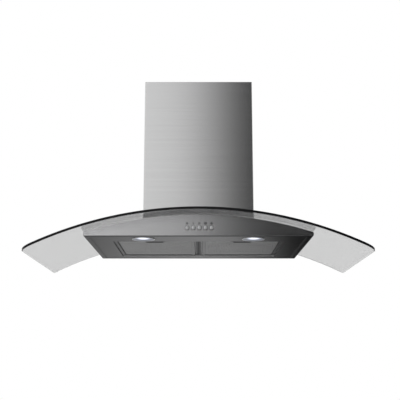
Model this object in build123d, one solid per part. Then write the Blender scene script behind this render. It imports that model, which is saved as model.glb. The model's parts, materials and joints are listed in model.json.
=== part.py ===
from build123d import *
import math
import os

# Wall mount range hood with a curved glass canopy, as an assembly of separate parts in millimetres.
# +X is to the viewer's right, +Y towards the wall, +Z up.
# The origin lies on the wall plane, on the centre line, level with the underside of the body.

# General sheet metal and clearances
SHEET = 1.0
BEND_R = 4.0
SEAT_GAP = 0.3
SLIDE_GAP = 0.7
RUNNING_GAP = 0.05
CUT = 5.0

# Body
BODY_W = 604.0
BODY_D = 422.0
BODY_SIDE = 9.0
LIP = 16.0
PANEL_LAP = 9.0

# Curved glass and its seal, all arches share one axis
GLASS_W = 900.0
GLASS_D = 490.0
GLASS_T = 6.5
GLASS_R = 1005.0
GLASS_FRONT_CORNER = 25.0
GLASS_REAR_CORNER = 6.0
GLASS_WALL_GAP = 2.0
GLASS_CUTOUT_GAP = 4.0
GLASS_CUTOUT_R = 10.0
SEAL_T = 4.0
SEAL_W = 12.0
SEAL_SETBACK = 3.0

# Screws that hold the glass
GLASS_SCREW_INSET = 68.0
GLASS_SCREW_SETBACK = 90.0
GLASS_SCREW_REAR = 80.0
GLASS_SCREW_R = 2.5
GLASS_HOLE_R = 4.0
GLASS_PAD_R = 10.0
GLASS_HEAD_R = 8.0
GLASS_HEAD_H = 3.5

# Filter recess in the underside
RECESS_INSET = 69.5
RECESS_SETBACK = 93.0
RECESS_REAR = 40.0
RECESS_UPSTAND = 16.0

# Grease filters
FILTER_Z = 3.0
FILTER_T = 9.0
FILTER_SKIN = 1.2
FILTER_BORDER = 9.0
FILTER_GAP = 2.5
FILTER_REAR_GAP = 1.5
MESH_GAP = 0.3
MESH_PITCH_X = 24.0
MESH_PITCH_Y = 28.0
MESH_STRAND = 3.0
TONGUE_W = 20.0
TONGUE_T = 1.5
TONGUE_REACH = 6.0
TONGUE_SPACING = 120.0
TONGUE_ROOM = 1.5
BAR_HALF = 9.0
BAR_GAP = 1.5
BAR_RISE = 3.0
BAR_H = 9.0

# Filter latches
LATCH_W = 48.0
LATCH_T = 2.0
LATCH_LIFT = 2.5
LATCH_DEPTH = 23.0
LATCH_TRAVEL = 5.0
THUMB_D = 7.0
THUMB_DROP = 1.6
LATCH_ROOM = 2.0

# Lamps in the underside
LAMP_INSET = 155.0
LAMP_SETBACK = 50.0
LAMP_BEZEL_R = 31.0
LAMP_BEZEL_T = 1.5
LAMP_NECK_R = 26.5
LAMP_NECK_H = 10.0
LAMP_LENS_R = 24.0
LAMP_LENS_T = 2.0
LAMP_LIP = 1.5
LAMP_LIP_T = 0.8
LAMP_CAN_H = 20.0
LAMP_CAN_WALL = 1.5
LAMP_HOLE_GAP = 0.5
BOARD_R = 20.0
BOARD_T = 1.6
DRIVER_W = 50.0
DRIVER_D = 40.0
DRIVER_H = 15.0
DRIVER_INSET = 92.0

# Push buttons and the switch block behind them
BUTTON_PITCH = 16.0
BUTTON_SHIFT = 2.5
BUTTON_Z = 22.3
BUTTON_R = 5.0
BUTTON_PROUD = 4.0
BUTTON_CAP = 7.0
BUTTON_STEM_R = 3.5
BUTTON_STEM = 15.0
BUTTON_TRAVEL = 3.0
BUTTON_GAP = 0.3
BUTTON_DOME = 0.8
SWITCH_MARGIN = 10.0
SWITCH_D = 28.0
SWITCH_H = 22.0

# Blower box on top of the body
BLOWER_HALF = 135.0
BLOWER_D = 232.0
BLOWER_TOP = 365.0
BLOWER_SHEET = 1.2
BLOWER_FLANGE = 14.0
FOOT_SCREW_R = 2.0
FOOT_HEAD_R = 4.0
FOOT_HEAD_H = 2.5

# Wall fixing holes
FIXING_X = 200.0
FIXING_Z = 160.0
FIXING_MID_Z = 215.0
FIXING_R = 4.0
SAFETY_X = 400.0
SAFETY_Z = 18.0
SAFETY_R = 3.0

# Fan, scroll and motor
FAN_Y = -112.0
FAN_Z = 200.0
WHEEL_R = 80.0
WHEEL_INNER_R = 66.0
WHEEL_HALF = 50.0
BLADES = 36
BLADE_SWEEP = 14.0
BLADE_BULGE = 4.0
BLADE_ANGLE = 1.0
WHEEL_RING_W = 3.0
WHEEL_RING_D = 4.0
WHEEL_DISC_T = 2.0
HUB_R = 12.0
HUB_HALF = 9.0
SHAFT_R = 4.0
SCROLL_START_R = 88.0
SCROLL_END_R = 115.0
SCROLL_START = 100.0
SCROLL_SWEEP = 280.0
SCROLL_POINTS = 9
SCROLL_HALF = 58.0
SCROLL_WALL = 1.5
OUTLET_FRONT = 95.0
OUTLET_REAR = 37.0
INLET_R = 62.0
INLET_FLANGE = 9.0
INLET_LIP = 6.0
INLET_T = 1.2
MOTOR_R = 38.0
MOTOR_GAP = 2.0
MOTOR_L = 62.0
MOTOR_BOSS_R = 14.0
MOTOR_BOSS_L = 6.0
SHAFT_IN_MOTOR = 30.0
BRACKET_T = 2.5
BRACKET_RIM = 6.0
BRACKET_ARM_W = 10.0
BRACKET_STAND = 8.0
BRACKET_FOOT = 6.0
BRACKET_REACH = 80.0
CAPACITOR_R = 15.0
CAPACITOR_L = 50.0
CAPACITOR_Y = -50.0
CAPACITOR_Z = 290.0

# Outlet collar and its damper
COLLAR_Y = -140.0
COLLAR_R = 75.0
COLLAR_WALL = 2.0
COLLAR_H = 45.0
COLLAR_FLANGE = 84.0
COLLAR_FLANGE_T = 3.0
STOP_W = 5.0
STOP_T = 2.0
STOP_RISE = 16.0
DAMPER_PIN_R = 2.0
DAMPER_BARREL_R = 3.5
DAMPER_PIN_RISE = 3.0
DAMPER_T = 1.2
DAMPER_GAP = 1.0
DAMPER_SPAN = 60.0
DAMPER_CLEAR = 0.7

# Terminal box on the blower box
TERMINAL_X = -96.0
TERMINAL_Y = -28.0
TERMINAL_W = 64.0
TERMINAL_D = 42.0
TERMINAL_H = 26.0
TERMINAL_WALL = 2.0
TERMINAL_LID = 3.0
GLAND_R = 8.0
GLAND_BORE = 4.5
GLAND_L = 16.0
GLAND_NUT = 10.0

# Chimney covers
CHIMNEY_W = 312.0
CHIMNEY_D = 272.0
CHIMNEY_TOP = 482.0
CHIMNEY_RETURN = 18.0
CHIMNEY_BEND = 2.0
INNER_SETBACK = 2.0
INNER_BACK = 5.0
WALL_BRACKET_H = 30.0
WALL_BRACKET_T = 2.0
WALL_BRACKET_DROP = 12.0
WALL_BRACKET_HALF = 132.0
WALL_BRACKET_STEP = 22.0
WALL_BRACKET_EAR = 20.0
WALL_BRACKET_HOLES = 160.0
WALL_BRACKET_HOLE_R = 3.5
EAR_SCREW_R = 2.0
EAR_HEAD_R = 3.0
EAR_HEAD_H = 0.5

# Sizes that follow from the ones above
BODY_R = GLASS_R - SEAL_T
BODY_CROWN = BODY_SIDE + BODY_R - math.sqrt(BODY_R**2 - (BODY_W / 2) ** 2)
ARCH_Z = BODY_CROWN - BODY_R
GLASS_TOP_R = GLASS_R + GLASS_T
PANEL_Z = SHEET
PANEL_TOP = PANEL_Z + SHEET
UPSTAND_TOP = PANEL_Z + RECESS_UPSTAND
FRONT_Y = -BODY_D
GLASS_SCREW_X = BODY_W / 2 - GLASS_SCREW_INSET
GLASS_SCREW_FRONT = BODY_D - GLASS_SCREW_SETBACK
RECESS_HALF = BODY_W / 2 - RECESS_INSET
RECESS_FRONT = BODY_D - RECESS_SETBACK
LAMP_X = BODY_W / 2 - LAMP_INSET
LAMP_Y = FRONT_Y + LAMP_SETBACK
DRIVER_X = BODY_W / 2 - DRIVER_INSET
BAR_Z = FILTER_Z + BAR_RISE
FILTER_IN = BAR_HALF + BAR_GAP
FILTER_OUT = RECESS_HALF - FILTER_GAP
FILTER_FRONT = -RECESS_FRONT + FILTER_GAP
FILTER_REAR = -RECESS_REAR - FILTER_REAR_GAP
FILTER_MID_X = (FILTER_IN + FILTER_OUT) / 2
FILTER_MID_Y = (FILTER_FRONT + FILTER_REAR) / 2
FILTER_TOP = FILTER_Z + FILTER_T
BLOWER_INNER = BLOWER_HALF - BLOWER_SHEET
THROAT_HALF = BLOWER_INNER - BLOWER_FLANGE
THROAT_FRONT = -BLOWER_D + BLOWER_SHEET + BLOWER_FLANGE
THROAT_REAR = -BLOWER_SHEET - BLOWER_FLANGE
BLOWER_CEILING = BLOWER_TOP - BLOWER_SHEET
COLLAR_BASE = BLOWER_TOP + COLLAR_FLANGE_T
COLLAR_INNER_R = COLLAR_R - COLLAR_WALL
STOP_TOP = COLLAR_BASE + STOP_RISE
DAMPER_Z = STOP_TOP + DAMPER_PIN_RISE
CHIMNEY_HALF = CHIMNEY_W / 2
INNER_HALF = CHIMNEY_HALF - SHEET - SLIDE_GAP
INNER_FRONT = -CHIMNEY_D + SHEET + SLIDE_GAP
INNER_BOTTOM = ARCH_Z + GLASS_TOP_R + SEAT_GAP
INNER_TOP = CHIMNEY_TOP - INNER_SETBACK
BUTTON_NAMES = ["button_off", "button_low", "button_medium", "button_high", "button_light"]
BUTTON_XS = [BUTTON_SHIFT + BUTTON_PITCH * (place - 2) for place in range(len(BUTTON_NAMES))]


def arch_height(radius, x):
    """Height at x of an arch with this radius about the common axis."""
    return ARCH_Z + math.sqrt(radius**2 - x**2)


def block(x0, x1, y0, y1, z0, z1):
    """Box between two corners."""
    return Pos((x0 + x1) / 2, (y0 + y1) / 2, (z0 + z1) / 2) * Box(x1 - x0, y1 - y0, z1 - z0)


def rod_x(radius, x0, x1, y, z):
    """Cylinder along X."""
    return Pos((x0 + x1) / 2, y, z) * Rot(0, 90, 0) * Cylinder(radius, x1 - x0)


def rod_y(radius, y0, y1, x, z):
    """Cylinder along Y."""
    return Pos(x, (y0 + y1) / 2, z) * Rot(90, 0, 0) * Cylinder(radius, y1 - y0)


def rod_z(radius, z0, z1, x, y):
    """Cylinder along Z."""
    return Pos(x, y, (z0 + z1) / 2) * Cylinder(radius, z1 - z0)


def under_arch(radius, half, y0, y1, z0):
    """Block from z0 up to an arch of this radius."""
    return block(-half, half, y0, y1, z0, ARCH_Z + radius + CUT) & rod_y(radius, y0 - CUT, y1 + CUT, 0, ARCH_Z)


def arch_sheet(r0, r1, half, y0, y1):
    """Curved sheet between two arches."""
    low = arch_height(r0, half) - CUT
    return under_arch(r1, half, y0, y1, low) - rod_y(r0, y0 - CUT, y1 + CUT, 0, ARCH_Z)


def on_arch(x, y, radius, shape):
    """Places a shape made at the origin, +Z outwards, on the arch's spoke through x on the body."""
    lean = math.asin(x / BODY_R)
    place = Pos(radius * math.sin(lean), y, ARCH_Z + radius * math.cos(lean))
    return place * Rot(0, math.degrees(lean), 0) * shape


def glass_screw_places():
    """Plan positions of the four glass screws."""
    return [(x, y) for x in (-GLASS_SCREW_X, GLASS_SCREW_X) for y in (-GLASS_SCREW_FRONT, -GLASS_SCREW_REAR)]


def foot_screw_places():
    """Plan positions of the screws in the foot flange of the blower box."""
    x = BLOWER_INNER - BLOWER_FLANGE / 2
    front = -BLOWER_D + BLOWER_SHEET + BLOWER_FLANGE / 2
    rear = -BLOWER_SHEET - BLOWER_FLANGE / 2
    return [(side * x, y) for side in (-1, 1) for y in (front, rear)]


def canopy_shell():
    """Front and sides of the body in one folded sheet, with a lip turned in underneath."""
    half = BODY_W / 2
    outer = under_arch(BODY_R, half, FRONT_Y, -SHEET, 0)
    low = outer.edges().filter_by(lambda e: e.center().Z < 0.01 and e.center().Y < -SHEET - 0.01)
    outer = fillet(low, BEND_R)
    inner = block(-half + SHEET, half - SHEET, FRONT_Y + SHEET, 0, SHEET, BODY_CROWN + CUT)
    low = inner.edges().filter_by(lambda e: abs(e.center().Z - SHEET) < 0.01 and e.center().Y < -SHEET)
    inner = fillet(low, BEND_R - SHEET)
    opening = block(-half + LIP, half - LIP, FRONT_Y + LIP, 0, -CUT, SHEET + CUT)
    holes = [rod_y(BUTTON_R + BUTTON_GAP, FRONT_Y - CUT, FRONT_Y + CUT, x, BUTTON_Z) for x in BUTTON_XS]
    return outer - inner - opening - holes


def top_panel():
    """Arched sheet that closes the body under the glass, open where the blower draws."""
    half = BODY_W / 2 - SHEET
    sheet = arch_sheet(BODY_R - SHEET, BODY_R, half, FRONT_Y + SHEET, -SHEET)
    throat = block(-THROAT_HALF, THROAT_HALF, THROAT_FRONT, THROAT_REAR, 0, BODY_CROWN + CUT)
    screw_hole = Cylinder(GLASS_SCREW_R, 4 * SHEET)
    foot_hole = Cylinder(FOOT_SCREW_R, 4 * SHEET)
    holes = [on_arch(x, y, BODY_R, screw_hole) for x, y in glass_screw_places()]
    holes += [on_arch(x, y, BODY_R, foot_hole) for x, y in foot_screw_places()]
    return sheet - throat - holes


def rear_panel():
    """Arched plate that lies on the wall, with two safety screw holes."""
    plate = under_arch(BODY_R, BODY_W / 2, -SHEET, 0, 0)
    low = plate.edges().filter_by(Axis.Y).group_by(Axis.Z)[0]
    plate = fillet(low, BEND_R)
    holes = [rod_y(SAFETY_R, -SHEET - CUT, CUT, side * SAFETY_X / 2, SAFETY_Z) for side in (-1, 1)]
    return plate - holes


def tongue_xs(side):
    """Middle of each of a filter's two rear tongues."""
    return [side * FILTER_MID_X + step * TONGUE_SPACING / 2 for step in (-1, 1)]


def underside_panel():
    """Flat panel on the lip of the shell, with the filter recess and the lamp holes."""
    half = BODY_W / 2 - LIP + PANEL_LAP
    front = FRONT_Y + LIP - PANEL_LAP
    plate = block(-half, half, front, -SHEET, PANEL_Z, PANEL_TOP)
    recess = block(-RECESS_HALF, RECESS_HALF, -RECESS_FRONT, -RECESS_REAR, PANEL_Z - CUT, PANEL_TOP + CUT)
    holes = [rod_z(LAMP_NECK_R + LAMP_HOLE_GAP, -CUT, PANEL_TOP + CUT, side * LAMP_X, LAMP_Y) for side in (-1, 1)]
    return plate - recess - holes


def recess_walls():
    """Upright strips on the panel round the filter recess, the rear one open where the tongues pass."""
    front = block(-RECESS_HALF, RECESS_HALF, -RECESS_FRONT - SHEET, -RECESS_FRONT, PANEL_TOP, UPSTAND_TOP)
    walls = [front]
    for side in (-1, 1):
        walls.append(side_block(side, RECESS_HALF, RECESS_HALF + SHEET, -RECESS_FRONT - SHEET,
                                -RECESS_REAR + SHEET, PANEL_TOP, UPSTAND_TOP))
    room = TONGUE_W / 2 + TONGUE_ROOM
    edges = [-RECESS_HALF]
    for middle in tongue_xs(-1) + tongue_xs(1):
        edges += [middle - room, middle + room]
    edges.append(RECESS_HALF)
    for x0, x1 in zip(edges[::2], edges[1::2]):
        walls.append(block(x0, x1, -RECESS_REAR, -RECESS_REAR + SHEET, PANEL_TOP, UPSTAND_TOP))
    return Compound([wall.solid() for wall in walls])


def filter_centre_bar():
    """Channel between the two filters, from the front upstand to the rear one."""
    bar = block(-BAR_HALF, BAR_HALF, -RECESS_FRONT, -RECESS_REAR, BAR_Z, BAR_Z + BAR_H)
    hollow = block(-BAR_HALF + SHEET, BAR_HALF - SHEET, -RECESS_FRONT + SHEET, -RECESS_REAR - SHEET,
                   BAR_Z + SHEET, BAR_Z + BAR_H + CUT)
    return bar - hollow


def side_block(side, x0, x1, y0, y1, z0, z1):
    """Box given by its distances from the centre line, on the left or the right side."""
    return block(min(side * x0, side * x1), max(side * x0, side * x1), y0, y1, z0, z1)


def filter_frame(side):
    """Channel frame of one grease filter, with two rear tongues and a slot for the latch bolt."""
    body = side_block(side, FILTER_IN, FILTER_OUT, FILTER_FRONT, FILTER_REAR, FILTER_Z, FILTER_TOP)
    skin = FILTER_SKIN
    groove = side_block(side, FILTER_IN + skin, FILTER_OUT - skin, FILTER_FRONT + skin, FILTER_REAR - skin,
                        FILTER_Z + skin, FILTER_TOP - skin)
    window = side_block(side, FILTER_IN + FILTER_BORDER, FILTER_OUT - FILTER_BORDER,
                        FILTER_FRONT + FILTER_BORDER, FILTER_REAR - FILTER_BORDER, 0, FILTER_TOP + CUT)
    bolt_z = FILTER_Z + skin + LATCH_LIFT
    bolt_half = LATCH_W / 2 + SEAT_GAP
    x = side * FILTER_MID_X
    slot = block(x - bolt_half, x + bolt_half, FILTER_FRONT - CUT, FILTER_FRONT + skin + CUT,
                 bolt_z - SEAT_GAP, bolt_z + LATCH_T + SEAT_GAP)
    tongues = []
    for middle in tongue_xs(side):
        tongues.append(block(middle - TONGUE_W / 2, middle + TONGUE_W / 2, FILTER_REAR - skin,
                             -RECESS_REAR + TONGUE_REACH, FILTER_Z, FILTER_Z + TONGUE_T))
    return body - groove - window - slot + tongues


def filter_mesh(side):
    """Pack of expanded metal in the frame: one holed face with staggered diamond openings."""
    inset = FILTER_SKIN + MESH_GAP
    width = FILTER_OUT - FILTER_IN - 2 * inset
    depth = FILTER_REAR - FILTER_FRONT - 2 * inset
    clear_x = FILTER_OUT - FILTER_IN - 2 * FILTER_BORDER
    clear_y = FILTER_REAR - FILTER_FRONT - 2 * FILTER_BORDER
    columns = int(clear_x / MESH_PITCH_X)
    rows = int(clear_y / MESH_PITCH_Y)
    half_x = (MESH_PITCH_X - MESH_STRAND) / 2
    half_y = (MESH_PITCH_Y - MESH_STRAND) / 2
    diamond = make_face(Polyline((half_x, 0), (0, half_y), (-half_x, 0), (0, -half_y), close=True))
    gaps = [place * diamond for place in GridLocations(MESH_PITCH_X, MESH_PITCH_Y, columns, rows)]
    gaps += [place * diamond for place in GridLocations(MESH_PITCH_X, MESH_PITCH_Y, columns - 1, rows - 1)]
    sheet = Rectangle(width, depth) - gaps
    thickness = FILTER_T - 2 * inset
    pack = Pos(side * FILTER_MID_X, FILTER_MID_Y, FILTER_Z + inset) * extrude(sheet, thickness)
    half = LATCH_W / 2 + LATCH_ROOM
    notch_rear = FILTER_FRONT + LATCH_DEPTH + LATCH_TRAVEL + LATCH_ROOM
    x = side * FILTER_MID_X
    notch = block(x - half, x + half, FILTER_FRONT, notch_rear, FILTER_Z, FILTER_TOP)
    return (pack - notch).solids().sort_by(SortBy.VOLUME)[-1]


def filter_latch(side):
    """Sprung flat bolt that bears on the front wall of the recess, with a thumb tab hanging below it."""
    x = side * FILTER_MID_X
    z = FILTER_Z + FILTER_SKIN + LATCH_LIFT
    rear = FILTER_FRONT + LATCH_DEPTH
    nose = -RECESS_FRONT + SEAT_GAP
    bolt = block(x - LATCH_W / 2, x + LATCH_W / 2, nose, rear, z, z + LATCH_T)
    bolt = fillet(bolt.edges().filter_by(Axis.X).sort_by(Axis.Y)[:2], LATCH_T / 3)
    tab = block(x - LATCH_W / 2, x + LATCH_W / 2, rear - THUMB_D, rear, FILTER_Z - THUMB_DROP, z + LATCH_T)
    scoop = rod_x(THUMB_D, x - LATCH_W / 2 + 2 * SHEET, x + LATCH_W / 2 - 2 * SHEET, rear - THUMB_D - THUMB_D / 2,
                  FILTER_Z - THUMB_DROP)
    scoop &= block(x - LATCH_W, x + LATCH_W, rear - 2 * THUMB_D, rear, FILTER_Z - 2 * THUMB_D, z)
    return bolt + (tab - scoop)


def glass_plan():
    """Upright block with the outline of the pane seen from above."""
    half = GLASS_W / 2
    low = arch_height(GLASS_R, half) - CUT
    plan = block(-half, half, -GLASS_D, -GLASS_WALL_GAP, low, ARCH_Z + GLASS_TOP_R + CUT)
    upright = plan.edges().filter_by(Axis.Z).sort_by(Axis.Y)
    plan = fillet(upright[:2], GLASS_FRONT_CORNER)
    upright = plan.edges().filter_by(Axis.Z).sort_by(Axis.Y)
    return fillet(upright[-2:], GLASS_REAR_CORNER)


def glass_canopy():
    """Curved pane with rounded corners, cut out at the back for the blower box."""
    ring = rod_y(GLASS_TOP_R, -GLASS_D - CUT, CUT, 0, ARCH_Z) - rod_y(GLASS_R, -GLASS_D - CUT, CUT, 0, ARCH_Z)
    cut_half = BLOWER_HALF + GLASS_CUTOUT_GAP
    cut = block(-cut_half, cut_half, -BLOWER_D - GLASS_CUTOUT_GAP, CUT, 0, ARCH_Z + GLASS_TOP_R + CUT)
    cut = fillet(cut.edges().filter_by(Axis.Z).sort_by(Axis.Y)[:2], GLASS_CUTOUT_R)
    hole = Cylinder(GLASS_HOLE_R, 4 * GLASS_T)
    holes = [on_arch(x, y, GLASS_R, hole) for x, y in glass_screw_places()]
    return (glass_plan() & ring) - cut - holes


def glass_seal():
    """Rubber strips along the front and sides of the body, and a pad round each glass screw."""
    half = BODY_W / 2 - SEAL_SETBACK
    front = FRONT_Y + SEAL_SETBACK
    solids = list(arch_sheet(BODY_R, GLASS_R, half, front, front + SEAL_W).solids())
    sides = arch_sheet(BODY_R, GLASS_R, half, front + SEAL_W + SEAT_GAP, -GLASS_WALL_GAP)
    sides -= block(-half + SEAL_W, half - SEAL_W, FRONT_Y, 0, -CUT, BODY_CROWN + SEAL_T + CUT)
    solids += sides.solids()
    for x, y in glass_screw_places():
        pad = on_arch(x, y, BODY_R, Cylinder(GLASS_PAD_R, 4 * SEAL_T) - Cylinder(GLASS_HOLE_R, 4 * SEAL_T))
        pad &= arch_sheet(BODY_R, GLASS_R, BODY_W / 2, FRONT_Y, 0)
        solids += pad.solids()
    return Compound(solids)


def glass_screws():
    """Four domed screws that clamp the pane to the top panel."""
    reach = GLASS_T + SEAL_T + SHEET
    dome = Pos(0, 0, SEAT_GAP) * Cylinder(GLASS_HEAD_R, GLASS_HEAD_H, align=(Align.CENTER, Align.CENTER, Align.MIN))
    dome = fillet(dome.edges().group_by(Axis.Z)[-1], GLASS_HEAD_H * 0.7)
    shank = Pos(0, 0, -reach) * Cylinder(GLASS_SCREW_R, reach + SEAT_GAP + CUT / 5,
                                         align=(Align.CENTER, Align.CENTER, Align.MIN))
    screw = dome + shank
    return Compound([on_arch(x, y, GLASS_TOP_R, screw).solid() for x, y in glass_screw_places()])


def blower_box():
    """Sheet box that stands on the top panel, with a foot flange, an outlet on top and wall holes behind."""
    outer = block(-BLOWER_HALF, BLOWER_HALF, -BLOWER_D, 0, 0, BLOWER_TOP)
    outer -= rod_y(BODY_R, -BLOWER_D - CUT, CUT, 0, ARCH_Z)
    inner = block(-BLOWER_INNER, BLOWER_INNER, -BLOWER_D + BLOWER_SHEET, -BLOWER_SHEET, 0, BLOWER_CEILING)
    inner -= rod_y(BODY_R + BLOWER_SHEET, -BLOWER_D - CUT, CUT, 0, ARCH_Z)
    throat = block(-THROAT_HALF, THROAT_HALF, THROAT_FRONT, THROAT_REAR, 0, BODY_CROWN + 4 * CUT)
    outlet = block(-SCROLL_HALF, SCROLL_HALF, FAN_Y - OUTLET_FRONT, FAN_Y + OUTLET_REAR,
                   BLOWER_CEILING - CUT, BLOWER_TOP + CUT)
    foot_hole = Cylinder(FOOT_SCREW_R, 6 * SHEET)
    cuts = [on_arch(x, y, BODY_R, foot_hole) for x, y in foot_screw_places()]
    for x in (-FIXING_X / 2, FIXING_X / 2):
        for z in (FIXING_MID_Z - FIXING_Z / 2, FIXING_MID_Z + FIXING_Z / 2):
            cuts.append(rod_y(FIXING_R, -BLOWER_SHEET - CUT, CUT, x, z))
    return outer - inner - throat - outlet - cuts


def blower_screws():
    """Screws through the foot flange into the top panel."""
    reach = BLOWER_SHEET + SHEET
    head = Cylinder(FOOT_HEAD_R, FOOT_HEAD_H, align=(Align.CENTER, Align.CENTER, Align.MIN))
    head = fillet(head.edges().group_by(Axis.Z)[-1], FOOT_HEAD_H / 2)
    shank = Pos(0, 0, -reach) * Cylinder(FOOT_SCREW_R, reach, align=(Align.CENTER, Align.CENTER, Align.MIN))
    screw = Pos(0, 0, SEAT_GAP / 10) * (head + shank)
    radius = BODY_R + BLOWER_SHEET
    return Compound([on_arch(x, y, radius, screw).solid() for x, y in foot_screw_places()])


def scroll_face(extra):
    """Outline of the scroll, grown outwards by extra, drawn in the plane across the fan axis."""
    points = []
    for step in range(SCROLL_POINTS):
        share = step / (SCROLL_POINTS - 1)
        radius = SCROLL_START_R + (SCROLL_END_R - SCROLL_START_R) * share + extra
        angle = math.radians(SCROLL_START - SCROLL_SWEEP * share)
        points.append((radius * math.cos(angle), radius * math.sin(angle)))
    top = BLOWER_CEILING - FAN_Z
    spiral = Spline(*points)
    outlet = Polyline(points[-1], (-OUTLET_FRONT - extra, top), (OUTLET_REAR + extra, top), points[0])
    return make_face(spiral + outlet)


def across_fan(face, half):
    """Extrudes a face of the fan's plane evenly to both sides of the centre line."""
    plane = Plane(origin=(0, FAN_Y, FAN_Z), x_dir=(0, 1, 0), z_dir=(1, 0, 0))
    return extrude(plane * face, half, both=True)


def scroll_housing():
    """Snail housing of the fan: two side plates and the spiral wall, open upwards and at both inlets."""
    outer = across_fan(scroll_face(SCROLL_WALL), SCROLL_HALF + SCROLL_WALL)
    inner = across_fan(scroll_face(0), SCROLL_HALF)
    inlets = rod_x(INLET_R, -BLOWER_HALF, BLOWER_HALF, FAN_Y, FAN_Z)
    return outer - inner - inlets


def inlet_rings():
    """Flanged rings that line both inlets of the scroll."""
    face = SCROLL_HALF + SCROLL_WALL
    rings = []
    for side in (-1, 1):
        ends = sorted((side * face, side * (face + INLET_T)))
        flange = rod_x(INLET_R + INLET_FLANGE, *ends, FAN_Y, FAN_Z)
        ends = sorted((side * (face - INLET_LIP), side * (face + INLET_T)))
        lip = rod_x(INLET_R - RUNNING_GAP, *ends, FAN_Y, FAN_Z)
        bore = rod_x(INLET_R - INLET_T, -BLOWER_HALF, BLOWER_HALF, FAN_Y, FAN_Z)
        rings.append((flange + lip - bore).solid())
    return Compound(rings)


def polar(radius, degrees):
    """Point in the fan's plane."""
    return (radius * math.cos(math.radians(degrees)), radius * math.sin(math.radians(degrees)))


def fan_wheel():
    """Forward curved wheel with inlets at both ends: blades, middle disc, hub and end rings."""
    middle = (WHEEL_R + WHEEL_INNER_R) / 2
    lead = ThreePointArc(polar(WHEEL_INNER_R, 0), polar(middle, BLADE_BULGE), polar(WHEEL_R, BLADE_SWEEP))
    tail = ThreePointArc(polar(WHEEL_R, BLADE_SWEEP + BLADE_ANGLE), polar(middle, BLADE_BULGE + BLADE_ANGLE),
                         polar(WHEEL_INNER_R, BLADE_ANGLE))
    tip = Line(lead @ 1, tail @ 0)
    root = Line(tail @ 1, lead @ 0)
    blade = make_face(lead + tip + tail + root)
    blades = [across_fan(Rot(0, 0, 360 * turn / BLADES) * blade, WHEEL_HALF) for turn in range(BLADES)]
    disc = rod_x((WHEEL_R + WHEEL_INNER_R) / 2, -WHEEL_DISC_T / 2, WHEEL_DISC_T / 2, FAN_Y, FAN_Z)
    hub = rod_x(HUB_R, -HUB_HALF, HUB_HALF, FAN_Y, FAN_Z)
    rings = []
    for end in (-WHEEL_HALF, WHEEL_HALF - WHEEL_RING_W):
        ring = rod_x(WHEEL_R + SHEET, end, end + WHEEL_RING_W, FAN_Y, FAN_Z)
        rings.append(ring - rod_x(WHEEL_R - WHEEL_RING_D, end - CUT, end + CUT, FAN_Y, FAN_Z))
    bore = rod_x(SHAFT_R, -HUB_HALF - CUT, HUB_HALF + CUT, FAN_Y, FAN_Z)
    return disc + hub + blades + rings - bore


def motor_front():
    """Place of the motor's front face on the fan axis."""
    return -HUB_HALF - MOTOR_GAP


def motor_shaft():
    """Shaft from the motor through the wheel's hub."""
    shaft = rod_x(SHAFT_R, motor_front() - SHAFT_IN_MOTOR, HUB_HALF + CUT, FAN_Y, FAN_Z)
    return chamfer(shaft.edges().filter_by(GeomType.CIRCLE), SHEET / 2)


def fan_motor():
    """Motor that reaches into the wheel, with a nose boss and a blind shaft bore."""
    front = motor_front()
    nose = front - MOTOR_BOSS_L
    rear = nose - MOTOR_L
    can = rod_x(MOTOR_R, rear, nose, FAN_Y, FAN_Z)
    can = fillet(can.edges().filter_by(GeomType.CIRCLE), 2 * BEND_R)
    boss = rod_x(MOTOR_BOSS_R, nose - CUT, front, FAN_Y, FAN_Z)
    bore = rod_x(SHAFT_R + RUNNING_GAP, front - SHAFT_IN_MOTOR - SEAT_GAP, front + CUT, FAN_Y, FAN_Z)
    return can + boss - bore


def motor_bracket():
    """Three armed spider that carries the motor in the left inlet."""
    face = -SCROLL_HALF - SCROLL_WALL
    inner = face - BRACKET_STAND
    rim = rod_x(MOTOR_R + BRACKET_RIM, inner - BRACKET_T, inner, FAN_Y, FAN_Z)
    bore = rod_x(MOTOR_R, inner - BRACKET_T - CUT, face + CUT, FAN_Y, FAN_Z)
    middle = (MOTOR_R + BRACKET_REACH) / 2
    arm = Pos(inner - BRACKET_T / 2, middle, 0) * Box(BRACKET_T, BRACKET_REACH - MOTOR_R, BRACKET_ARM_W)
    foot = Pos((face + inner - BRACKET_T) / 2, BRACKET_REACH - BRACKET_FOOT / 2, 0)
    foot *= Box(BRACKET_STAND + BRACKET_T, BRACKET_FOOT, BRACKET_ARM_W)
    axis = Pos(0, FAN_Y, FAN_Z)
    arms = [axis * Rot(turn * 120 + 30, 0, 0) * (arm + foot) for turn in range(3)]
    return rim + arms - bore


def run_capacitor():
    """Can of the run capacitor on the right wall of the blower box."""
    can = rod_x(CAPACITOR_R, BLOWER_INNER - CAPACITOR_L, BLOWER_INNER, CAPACITOR_Y, CAPACITOR_Z)
    return fillet(can.edges().filter_by(GeomType.CIRCLE).sort_by(Axis.X)[:1], BEND_R / 2)


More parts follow.
